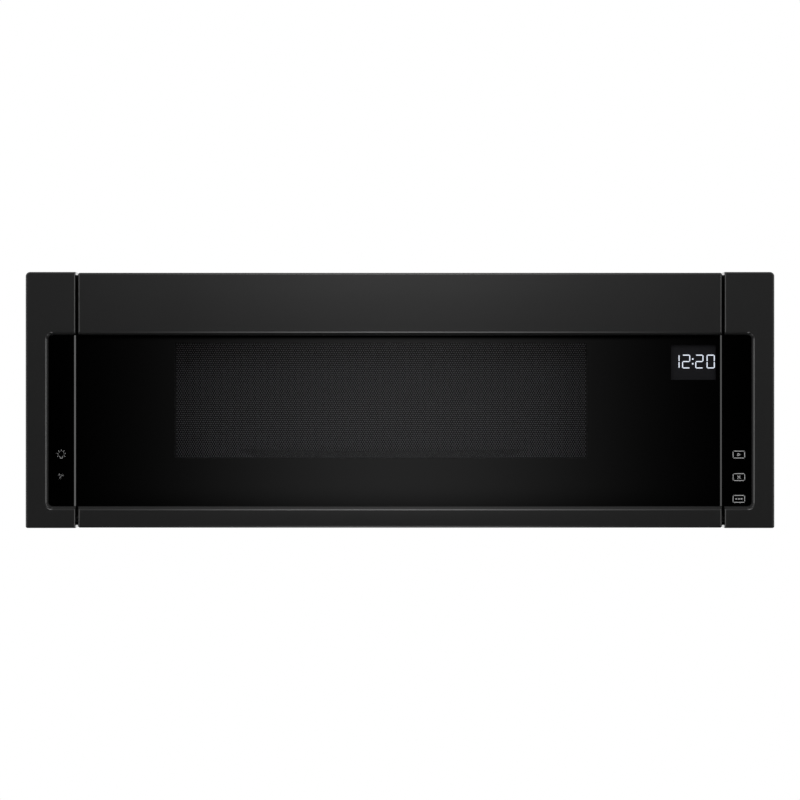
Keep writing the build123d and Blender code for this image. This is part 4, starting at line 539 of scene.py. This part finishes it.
DISPLAY_FILM = plastic("display_film", (0.023, 0.023, 0.025), 0.5, 0.001 * MM, 0.0)
DIGIT_LIGHT = lit("digit_light", (0.84, 0.90, 1.0), 1.35)
# Painted shade: near-black steel for the hinge pins and leaves, which are really bright steel, so that they
# stay dark in the door gaps.
HINGE_GAP_SHADE = metal("hinge_gap_shade", (0.035, 0.035, 0.036), 0.5)


def dress_cad():
    """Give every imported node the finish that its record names."""
    for name, thing in NODES.items():
        material = FINISHES[SLOT_OF[name]]
        thing.data.materials.clear()
        thing.data.materials.append(material)
    # Painted shade: the hinge pins and leaves cross the door gaps and are coloured near-black to stand for the
    # shade there.
    for name in ("hinge_pins", "hinge_leaves"):
        NODES[name].data.materials[0] = HINGE_GAP_SHADE


# ------------------------------------------------------------------ small mesh helpers
def piece(name, vertices, faces, material, body, replaced=()):
    """A new mesh piece that rides on a body."""
    mesh = bpy.data.meshes.new(name)
    mesh.from_pydata(vertices, [], faces)
    mesh.validate()
    mesh.materials.append(material)
    made = linked(name, mesh)
    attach(made, body)
    if replaced:
        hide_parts(*replaced)
    return made


def outline(x, z, corners):
    """Points of a rectangle, anticlockwise from its low left, with a radius (or none) at each corner."""
    points = []
    middles = [(x[0], z[0], 1, 1), (x[1], z[0], -1, 1), (x[1], z[1], -1, -1), (x[0], z[1], 1, -1)]
    for turn, (radius, (cx, cz, sx, sz)) in enumerate(zip(corners, middles)):
        steps = CORNER_STEPS if radius else 0
        for step in range(steps + 1):
            angle = math.pi + math.pi / 2 * (turn + step / max(steps, 1))
            points.append((cx + radius * (sx + math.cos(angle)), cz + radius * (sz + math.sin(angle))))
    return points


def ring_faces(low, count, high=None):
    """Faces between two rings of vertices: the one from low, and the one from high or just after it."""
    high = low + count if high is None else high
    pairs = [(index, (index + 1) % count) for index in range(count)]
    return [(low + index, low + after, high + after, high + index) for index, after in pairs]


def in_opening(place, openings):
    """Whether a place in X and Z lies in one of the openings."""
    return any(o[0][0] < place[0] < o[0][1] and o[1][0] < place[1] < o[1][1] for o in openings)


def ground_plate(x, z, y, corners, ground):
    """A plate whose front edge is ground off at its left side, its right side or neither."""
    front_x = (x[0] + ground[0] * GROUND_WIDE, x[1] - ground[1] * GROUND_WIDE)
    rings = []
    for ring_x, depth in ((x, y[1]), (x, y[0] + GROUND_DEEP), (front_x, y[0])):
        rings.append([(px, depth, pz) for px, pz in outline(ring_x, z, corners)])
    count = len(rings[0])
    vertices = [point for ring in rings for point in ring]
    faces = [tuple(range(count - 1, -1, -1)), tuple(2 * count + index for index in range(count))]
    for low in (0, count):
        faces += ring_faces(low, count)
    return vertices, faces


def sheet_with_openings(x, z, y, openings):
    """A flat sheet facing -Y, cut into cells so that some rectangles stay open."""
    cuts_x = sorted({*x, *(value for opening in openings for value in opening[0])})
    cuts_z = sorted({*z, *(value for opening in openings for value in opening[1])})
    vertices = [(px, y, pz) for pz in cuts_z for px in cuts_x]
    faces = []
    for row in range(len(cuts_z) - 1):
        for column in range(len(cuts_x) - 1):
            middle = ((cuts_x[column] + cuts_x[column + 1]) / 2, (cuts_z[row] + cuts_z[row + 1]) / 2)
            if in_opening(middle, openings):
                continue
            first = row * len(cuts_x) + column
            faces.append((first, first + 1, first + len(cuts_x) + 1, first + len(cuts_x)))
    return vertices, faces


# ------------------------------------------------------------------ front glass
def glass_pane(node_name, body, corners, ground):
    """One front glass with a black print on its back."""
    x, y, z = (span(node_name, axis) for axis in range(3))
    vertices, faces = ground_plate(x, z, y, corners, ground)
    return piece(node_name + "_pane", vertices, faces, PRINTED_GLASS, body, [node_name])


def door_pane():
    """The door's glass, clear at the window and the display, with its top bowed forward by a hair."""
    pane = glass_pane("door_glass", "door", (0, 0, 0, 0), (0, 1))
    mesh = pane.data
    mesh.materials.append(FINISHES["front_glass"])
    shape = bmesh.new()
    shape.from_mesh(mesh)
    front, top = span("door_glass", 1)[0], span("door_glass", 2)[1]
    openings = openings_of_door()
    start = top - BOW_HIGH
    cuts = [((px, 0, 0), (1, 0, 0)) for opening in openings for px in opening[0]]
    cuts += [((0, 0, pz), (0, 0, 1)) for opening in openings for pz in opening[1]]
    cuts += [((0, 0, start + BOW_HIGH * step / BOW_STEPS), (0, 0, 1)) for step in range(BOW_STEPS)]
    for place, normal in cuts:
        parts = shape.verts[:] + shape.edges[:] + shape.faces[:]
        bmesh.ops.bisect_plane(shape, geom=parts, plane_co=place, plane_no=normal)
    for face in shape.faces:
        middle = face.calc_center_median()
        face.material_index = int(in_opening((middle.x, middle.z), openings))
    for vertex in shape.verts:
        past = (vertex.co.z - start) / BOW_HIGH
        if past > 0 and vertex.co.y < front + GROUND_DEEP / 2:
            vertex.co.y -= BOW * past ** 2
    shape.to_mesh(mesh)
    shape.free()
    mesh.shade_smooth()
    mesh.set_sharp_from_angle(angle=math.radians(12))


def openings_of_door():
    """Window and display openings in the print, as X and Z spans."""
    window = tuple(grown(span("door_screen", axis), -WINDOW_IN_SCREEN) for axis in (0, 2))
    case = [span("display_module", axis) for axis in (0, 2)]
    display = tuple((low + DISPLAY_LAP[0], high - DISPLAY_LAP[1]) for low, high in case)
    return [window, display]


def front_glasses():
    """The door's glass and both columns' glasses."""
    door_pane()
    glass_pane("left_column_glass", "cabinet", (COLUMN_ROUND, 0, 0, COLUMN_ROUND), (0, 1))
    glass_pane("right_column_glass", "cabinet", (0, COLUMN_ROUND, COLUMN_ROUND, 0), (0, 0))


# ------------------------------------------------------------------ door screen
def honeycomb(x, z, y):
    """Sheet with staggered six-sided holes: one ring of six faces round each hole."""
    rise = SCREEN_PITCH * math.sqrt(3) / 2
    corner = SCREEN_PITCH / math.sqrt(3)
    vertices, faces = [], []
    for row in range(int((z[1] - z[0] - 2 * corner) / rise) + 1):
        shift = SCREEN_PITCH / 2 * (row % 2)
        cz = z[0] + corner + row * rise
        for column in range(int((x[1] - x[0] - shift) / SCREEN_PITCH)):
            cx = x[0] + SCREEN_PITCH / 2 + shift + column * SCREEN_PITCH
            first = len(vertices)
            for size in (corner, SCREEN_HOLE):
                for turn in range(6):
                    angle = math.pi / 6 + turn * math.pi / 3
                    vertices.append((cx + size * math.cos(angle), y, cz + size * math.sin(angle)))
            for turn in range(6):
                after = (turn + 1) % 6
                faces.append((first + turn, first + after, first + 6 + after, first + 6 + turn))
    return vertices, faces


def perforated_screen():
    """The screen behind the window, perforated inside a plain margin."""
    x, y, z = (span("door_screen", axis) for axis in range(3))
    vertices, faces = honeycomb(grown(x, -HOLES_START), grown(z, -HOLES_START), y[0])
    opening = (grown(x, -SCREEN_EDGE), grown(z, -SCREEN_EDGE))
    margin, margin_faces = sheet_with_openings(x, z, y[0] + LAYER, [opening])
    faces += [tuple(index + len(vertices) for index in face) for face in margin_faces]
    vertices += margin
    piece("door_screen_sheet", vertices, faces, SCREEN_PAINT, "door", ["door_screen"])


# ------------------------------------------------------------------ display
SEGMENTS = {"1": "bc", "2": "abged", "0": "abcdef"}


def segment_bar(centre, length, thick, upright):
    """Six corners of one bar with pointed ends, in X and Z about its middle."""
    half, side = length / 2, thick / 2
    shape = [(-half, 0), (-half + side, -side), (half - side, -side), (half, 0), (half - side, side),
             (-half + side, side)]
    if upright:
        shape = [(-pz, px) for px, pz in shape]
    return [(centre[0] + px, centre[1] + pz) for px, pz in shape]


def digit_bars(digit, left):
    """The bars of one seven-segment digit."""
    low, high, thick = DIGITS_LOW, DIGIT_HIGH, BAR_THICK
    mid_x, mid_z = left + DIGIT_WIDE / 2, low + high / 2
    right, top = left + DIGIT_WIDE, low + high
    flat = DIGIT_WIDE - thick - BAR_GAP
    tall = high / 2 - thick / 2 - BAR_GAP
    places = {
        "a": ((mid_x, top - thick / 2), flat, False), "g": ((mid_x, mid_z), flat, False),
        "d": ((mid_x, low + thick / 2), flat, False),
        "f": ((left + thick / 2, mid_z + high / 4 - thick / 8), tall, True),
        "e": ((left + thick / 2, mid_z - high / 4 + thick / 8), tall, True),
        "b": ((right - thick / 2, mid_z + high / 4 - thick / 8), tall, True),
        "c": ((right - thick / 2, mid_z - high / 4 + thick / 8), tall, True),
    }
    bars = (places[name] for name in SEGMENTS[digit])
    return [segment_bar(centre, length, thick, upright) for centre, length, upright in bars]


def clock():
    """The lit digits and colon, on the film in front of the display's face."""
    y = span("display_module", 1)[0]
    bars = []
    for digit, left in DIGITS:
        bars += digit_bars(digit, left)
    for share in COLON_RISES:
        dot_z = DIGITS_LOW + share * DIGIT_HIGH
        bars.append([(COLON_X + px * COLON_HALF, dot_z + pz * COLON_HALF)
                     for px, pz in ((-1, -1), (1, -1), (1, 1), (-1, 1))])
    vertices, faces = [], []
    for bar in bars:
        first = len(vertices)
        vertices += [(px, y - 2 * LAYER, pz) for px, pz in bar]
        faces.append(tuple(range(first, first + len(bar))))
    piece("clock_digits", vertices, faces, DIGIT_LIGHT, "door")
    x, z = openings_of_door()[1]
    vertices, faces = sheet_with_openings(x, z, y - LAYER, [])
    piece("display_film", vertices, faces, DISPLAY_FILM, "door")


# ------------------------------------------------------------------ printed symbols
def stroke(points, wide, closed=False):
    """A flat line of an even width through points in X and Z."""
    vertices, faces = [], []
    count = len(points)
    pairs = [(index, (index + 1) % count) for index in range(count if closed else count - 1)]
    for first, second in pairs:
        a, b = Vector(points[first]), Vector(points[second])
        along = (b - a).normalized() * wide / 2
        side = Vector((-along.y, along.x))
        base = len(vertices)
        vertices += [a - along - side, b + along - side, b + along + side, a - along + side]
        faces.append((base, base + 1, base + 2, base + 3))
    return [tuple(v) for v in vertices], faces


def arc(cx, cz, radius, start, end, steps):
    """Points on a part of a circle, with angles in degrees."""
    points = []
    for step in range(steps + 1):
        angle = math.radians(start + (end - start) * step / steps)
        points.append((cx + radius * math.cos(angle), cz + radius * math.sin(angle)))
    return points


def key_outline(cx, cz):
    """The closed outline round a touch key."""
    x, z = (cx - KEY_WIDE / 2, cx + KEY_WIDE / 2), (cz - KEY_HIGH / 2, cz + KEY_HIGH / 2)
    return outline(x, z, (KEY_ROUND,) * 4)


def light_symbol(cx, cz):
    """A lamp: a ring that is open at its base, with short rays round it."""
    ring, rays = 2.9 * MM, (3.9 * MM, 4.3 * MM)
    base_half, base_low = 1.3 * MM, 3.8 * MM
    strokes = [(arc(cx, cz, ring, -60, 240, 24), False)]
    for angle in range(-30, 211, 40):
        strokes.append(([arc(cx, cz, radius, angle, angle, 1)[0] for radius in rays], False))
    strokes.append(([(cx - base_half, cz - base_low), (cx + base_half, cz - base_low)], False))
    return strokes


def fan_symbol(cx, cz):
    """Three curved blades round a hub."""
    hub, root_at, tip_at, blade = 0.7 * MM, 1.0 * MM, 2.0 * MM, 1.0 * MM
    strokes = [(arc(cx, cz, hub, 0, 360, 10), False)]
    for turn in range(3):
        lean = 120 * turn + 20
        root = arc(cx, cz, root_at, lean, lean, 1)[0]
        tip = arc(cx, cz, tip_at, lean, lean, 1)[0]
        strokes.append((arc(*tip, blade, lean - 60, lean + 150, 10) + [root], True))
    return strokes


def key_symbols(cx):
    """Three framed keys: a start arrow, a stop cross and a row of three dashes."""
    start_z, stop_z, mode_z = KEYS_Z
    strokes = [(key_outline(cx, cz), True) for cz in KEYS_Z]
    back, tip, reach = -1.3 * MM, 1.5 * MM, 1.2 * MM
    dash_half, dash_step, dash_rise = 0.54 * MM, 2.7 * MM, 0.3 * MM
    arrow = [(back, back), (tip, 0.0), (back, -back)]
    strokes.append(([(cx + px, start_z + pz) for px, pz in arrow], True))
    strokes.append(([(cx - reach, stop_z - reach), (cx + reach, stop_z + reach)], False))
    strokes.append(([(cx - reach, stop_z + reach), (cx + reach, stop_z - reach)], False))
    for shift in (-dash_step, 0.0, dash_step):
        for lift in (-dash_rise, dash_rise):
            ends = [(cx + shift + dash_half * way, mode_z + lift) for way in (-1, 1)]
            strokes.append((ends, False))
    return strokes


def symbols(name, node_name, strokes, wide):
    """Printed lines on the face of one column's glass."""
    y = span(node_name, 1)[0] - PRINT
    vertices, faces = [], []
    for points, closed in strokes:
        flat, cells = stroke(points, wide, closed)
        first = len(vertices)
        vertices += [(px, y, pz) for px, pz in flat]
        faces += [tuple(first + index for index in cell) for cell in cells]
    piece(name, vertices, faces, PRINTED_GREY, "cabinet")


def printed_symbols():
    """The symbols of the light and fan keys on the left, and of three keys on the right."""
    left = light_symbol(LEFT_SYMBOLS_X, LIGHT_Z) + fan_symbol(LEFT_SYMBOLS_X + FAN_SHIFT, FAN_Z)
    symbols("light_fan_symbols", "left_column_glass", left, SYMBOL_LINE)
    symbols("key_symbols", "right_column_glass", key_symbols(KEYS_X), KEY_LINE)


# ------------------------------------------------------------------ underside: filters and lenses
def clipped(point, slope, x, y):
    """The ends of a slanted line inside a rectangle, or None where it misses."""
    ends = []
    for px in x:
        py = point[1] + (px - point[0]) * slope
        if y[0] <= py <= y[1]:
            ends.append((px, py))
    for py in y:
        px = point[0] + (py - point[1]) / slope
        if x[0] < px < x[1]:
            ends.append((px, py))
    return ends[:2] if len(ends) > 1 else None


def strand(start, end, z, wide, thick):
    """Six corners of a thin ridged strip from start to end, and its faces."""
    along = (Vector(end) - Vector(start)).normalized() * wide / 2
    side = Vector((-along.y, along.x))
    vertices = []
    for place in (start, end):
        for shift, lift in ((-1, 0.0), (0, thick), (1, 0.0)):
            vertices.append((place[0] + side.x * shift, place[1] + side.y * shift, z + lift))
    return vertices, [(0, 1, 4, 3), (1, 2, 5, 4), (2, 0, 3, 5)]


def filter_mesh(side):
    """Expanded aluminium mesh, laid in the dish on both faces of a grease filter."""
    name = "grease_filter_" + side
    x, y, z = (span(name, axis) for axis in range(3))
    x, y = grown(x, -FILTER_FRAME), grown(y, -FILTER_FRAME)
    vertices, faces = [], []
    for slope in (-MESH_SLOPE, MESH_SLOPE):
        reach = (y[1] - y[0]) / MESH_SLOPE
        count = int((x[1] - x[0] + 2 * reach) / MESH_PITCH)
        for level, thick in ((z[0] + MESH_IN_DISH, -STRAND_THICK), (z[1] - MESH_IN_DISH, STRAND_THICK)):
            level += math.copysign(MESH_CROSS, slope)
            for step in range(count):
                ends = clipped((x[0] - reach + step * MESH_PITCH, sum(y) / 2), slope, x, y)
                if ends:
                    corners, sides = strand(*ends, level, STRAND_WIDE, thick)
                    first = len(vertices)
                    vertices += corners
                    faces += [tuple(first + index for index in face) for face in sides]
    piece("filter_mesh_" + side, vertices, faces, FINISHES["filter_aluminium"], name)


def ribbed_lenses():
    """Both light lenses, with rows of prisms across their lower faces."""
    x, y, z = (span("cooktop_lenses", axis) for axis in range(3))
    rows = int((y[1] - y[0]) / LENS_RIB)
    vertices, faces = [], []
    for left in (x[0], x[1] - LENS_LONG):
        profile = []
        for row in range(2 * rows + 1):
            depth = z[0] if row % 2 else z[0] + RIB_DEEP
            profile.append((y[0] + (y[1] - y[0]) * row / (2 * rows), depth))
        profile += [(y[1], z[1]), (y[0], z[1])]
        first, count = len(vertices), len(profile)
        vertices += [(px, py, pz) for px in (left, left + LENS_LONG) for py, pz in profile]
        faces.append(tuple(range(first + count - 1, first - 1, -1)))
        faces.append(tuple(range(first + count, first + 2 * count)))
        faces += ring_faces(first, count)
    piece("lamp_lenses", vertices, faces, FINISHES["lamp_glass"], "cabinet",
          ["cooktop_lenses"])


# ------------------------------------------------------------------ screws with cross recesses
def loose_parts(mesh):
    """The corners of each separate solid of a mesh, in the mesh's own order."""
    shape = bmesh.new()
    shape.from_mesh(mesh)
    bmesh.ops.remove_doubles(shape, verts=shape.verts[:], dist=WELD)
    reached = set()
    parts = []
    for start in shape.verts:
        if start in reached:
            continue
        reached.add(start)
        ahead, found = [start], []
        while ahead:
            vertex = ahead.pop()
            found.append(vertex.co.copy())
            for edge in vertex.link_edges:
                other = edge.other_vert(vertex)
                if other not in reached:
                    reached.add(other)
                    ahead.append(other)
        parts.append(found)
    shape.free()
    return parts


def screw_seat(points):
    """Where a screw's head stands, the way it faces, its head's radius and its shank's radius and length."""
    low = Vector([min(point[axis] for point in points) for axis in range(3)])
    high = Vector([max(point[axis] for point in points) for axis in range(3)])
    size = high - low
    axis = max(range(3), key=lambda index: size[index])
    across = [index for index in range(3) if index != axis]
    middle = (low + high) / 2
    head = size[across[0]] / 2

    def spread(end):
        near = [point for point in points if abs(point[axis] - end) < END_DEEP]
        return max(math.hypot(*(point[index] - middle[index] for index in across)) for point in near)

    facing = Vector((0, 0, 0))
    facing[axis] = 1 if spread(high[axis]) > spread(low[axis]) else -1
    shank = min(spread(high[axis]), spread(low[axis]))
    seat = middle.copy()
    seat[axis] = (high if facing[axis] > 0 else low)[axis] - facing[axis] * HEAD_HIGH
    return seat, facing, head, shank, size[axis] - HEAD_HIGH


def screw_rings(head, shank, long):
    """Radius and height of each ring of a pan-head screw, from the shank's end up to the head's top."""
    rings = [(0.02 * MM, -long)]
    for index in range(int(long / THREAD_PITCH)):
        depth = -long + (index + 0.2) * THREAD_PITCH
        rings += [(shank * 0.86, depth), (shank, depth + THREAD_PITCH * 0.4)]
    rings += [(shank * 0.9, 0.0), (head, 0.0), (head, HEAD_HIGH * 0.55)]
    return rings + [(head * 0.93, HEAD_HIGH * 0.85), (head * 0.78, HEAD_HIGH)]


def cross_outline(head):
    """Twelve corners of the cross recess in a head."""
    a, b = head * CROSS_THIN, head * CROSS_LONG
    return [(a, a), (a, b), (-a, b), (-a, a), (-b, a), (-b, -a),
            (-a, -a), (-a, -b), (a, -b), (a, -a), (b, -a), (b, a)]


def crossed_screw(head, shank, long):
    """A pan-head screw along +Z with its head above z = 0, a cross recess and thread rings on its shank."""
    rings = screw_rings(head, shank, long)
    vertices = []
    for radius, height in rings:
        ring = arc(0, 0, radius, 0, 360 * (SCREW_SIDES - 1) / SCREW_SIDES, SCREW_SIDES - 1)
        vertices += [(px, py, height) for px, py in ring]
    faces = [tuple(range(SCREW_SIDES - 1, -1, -1))]
    for low in range(0, SCREW_SIDES * (len(rings) - 1), SCREW_SIDES):
        faces += ring_faces(low, SCREW_SIDES)
    cross = cross_outline(head)
    top = len(vertices) - SCREW_SIDES
    rim = [Vector(vertex) for vertex in vertices[top:]]
    lip = [Vector((px, py, HEAD_HIGH)) for px, py in cross]
    faces += [tuple(top + index for index in face) for face in tessellate_polygon([rim, lip])]
    lip_at = len(vertices)
    vertices += [tuple(corner) for corner in lip]
    floor_at = len(vertices)
    vertices += [(px * CROSS_TAPER, py * CROSS_TAPER, HEAD_HIGH * CROSS_FLOOR) for px, py in cross]
    faces += ring_faces(lip_at, len(cross), floor_at)
    faces.append(tuple(range(floor_at, floor_at + len(cross))))
    return vertices, faces


def screws(node_name, body):
    """Detailed screws in place of one node's plain ones."""
    vertices, faces = [], []
    for number, points in enumerate(loose_parts(NODES[node_name].data)):
        seat, facing, head, shank, long = screw_seat(points)
        turn = facing.to_track_quat("Z", "Y") @ Quaternion((0, 0, 1), SCREW_TURN * number)
        corners, sides = crossed_screw(head, shank, long)
        first = len(vertices)
        vertices += [tuple(seat + turn @ Vector(corner)) for corner in corners]
        faces += [tuple(first + index for index in side) for side in sides]
    piece(node_name + "_cut", vertices, faces, FINISHES["screw_steel"], body, [node_name])


# ------------------------------------------------------------------ the whole scene
studio()
camera()
floor()
overhead_lamp()
dress_cad()
front_glasses()
perforated_screen()
clock()
printed_symbols()
for side in ("left", "right"):
    filter_mesh(side)
ribbed_lenses()
screws("cabinet_screws", "cabinet")
screws("door_screws", "door")
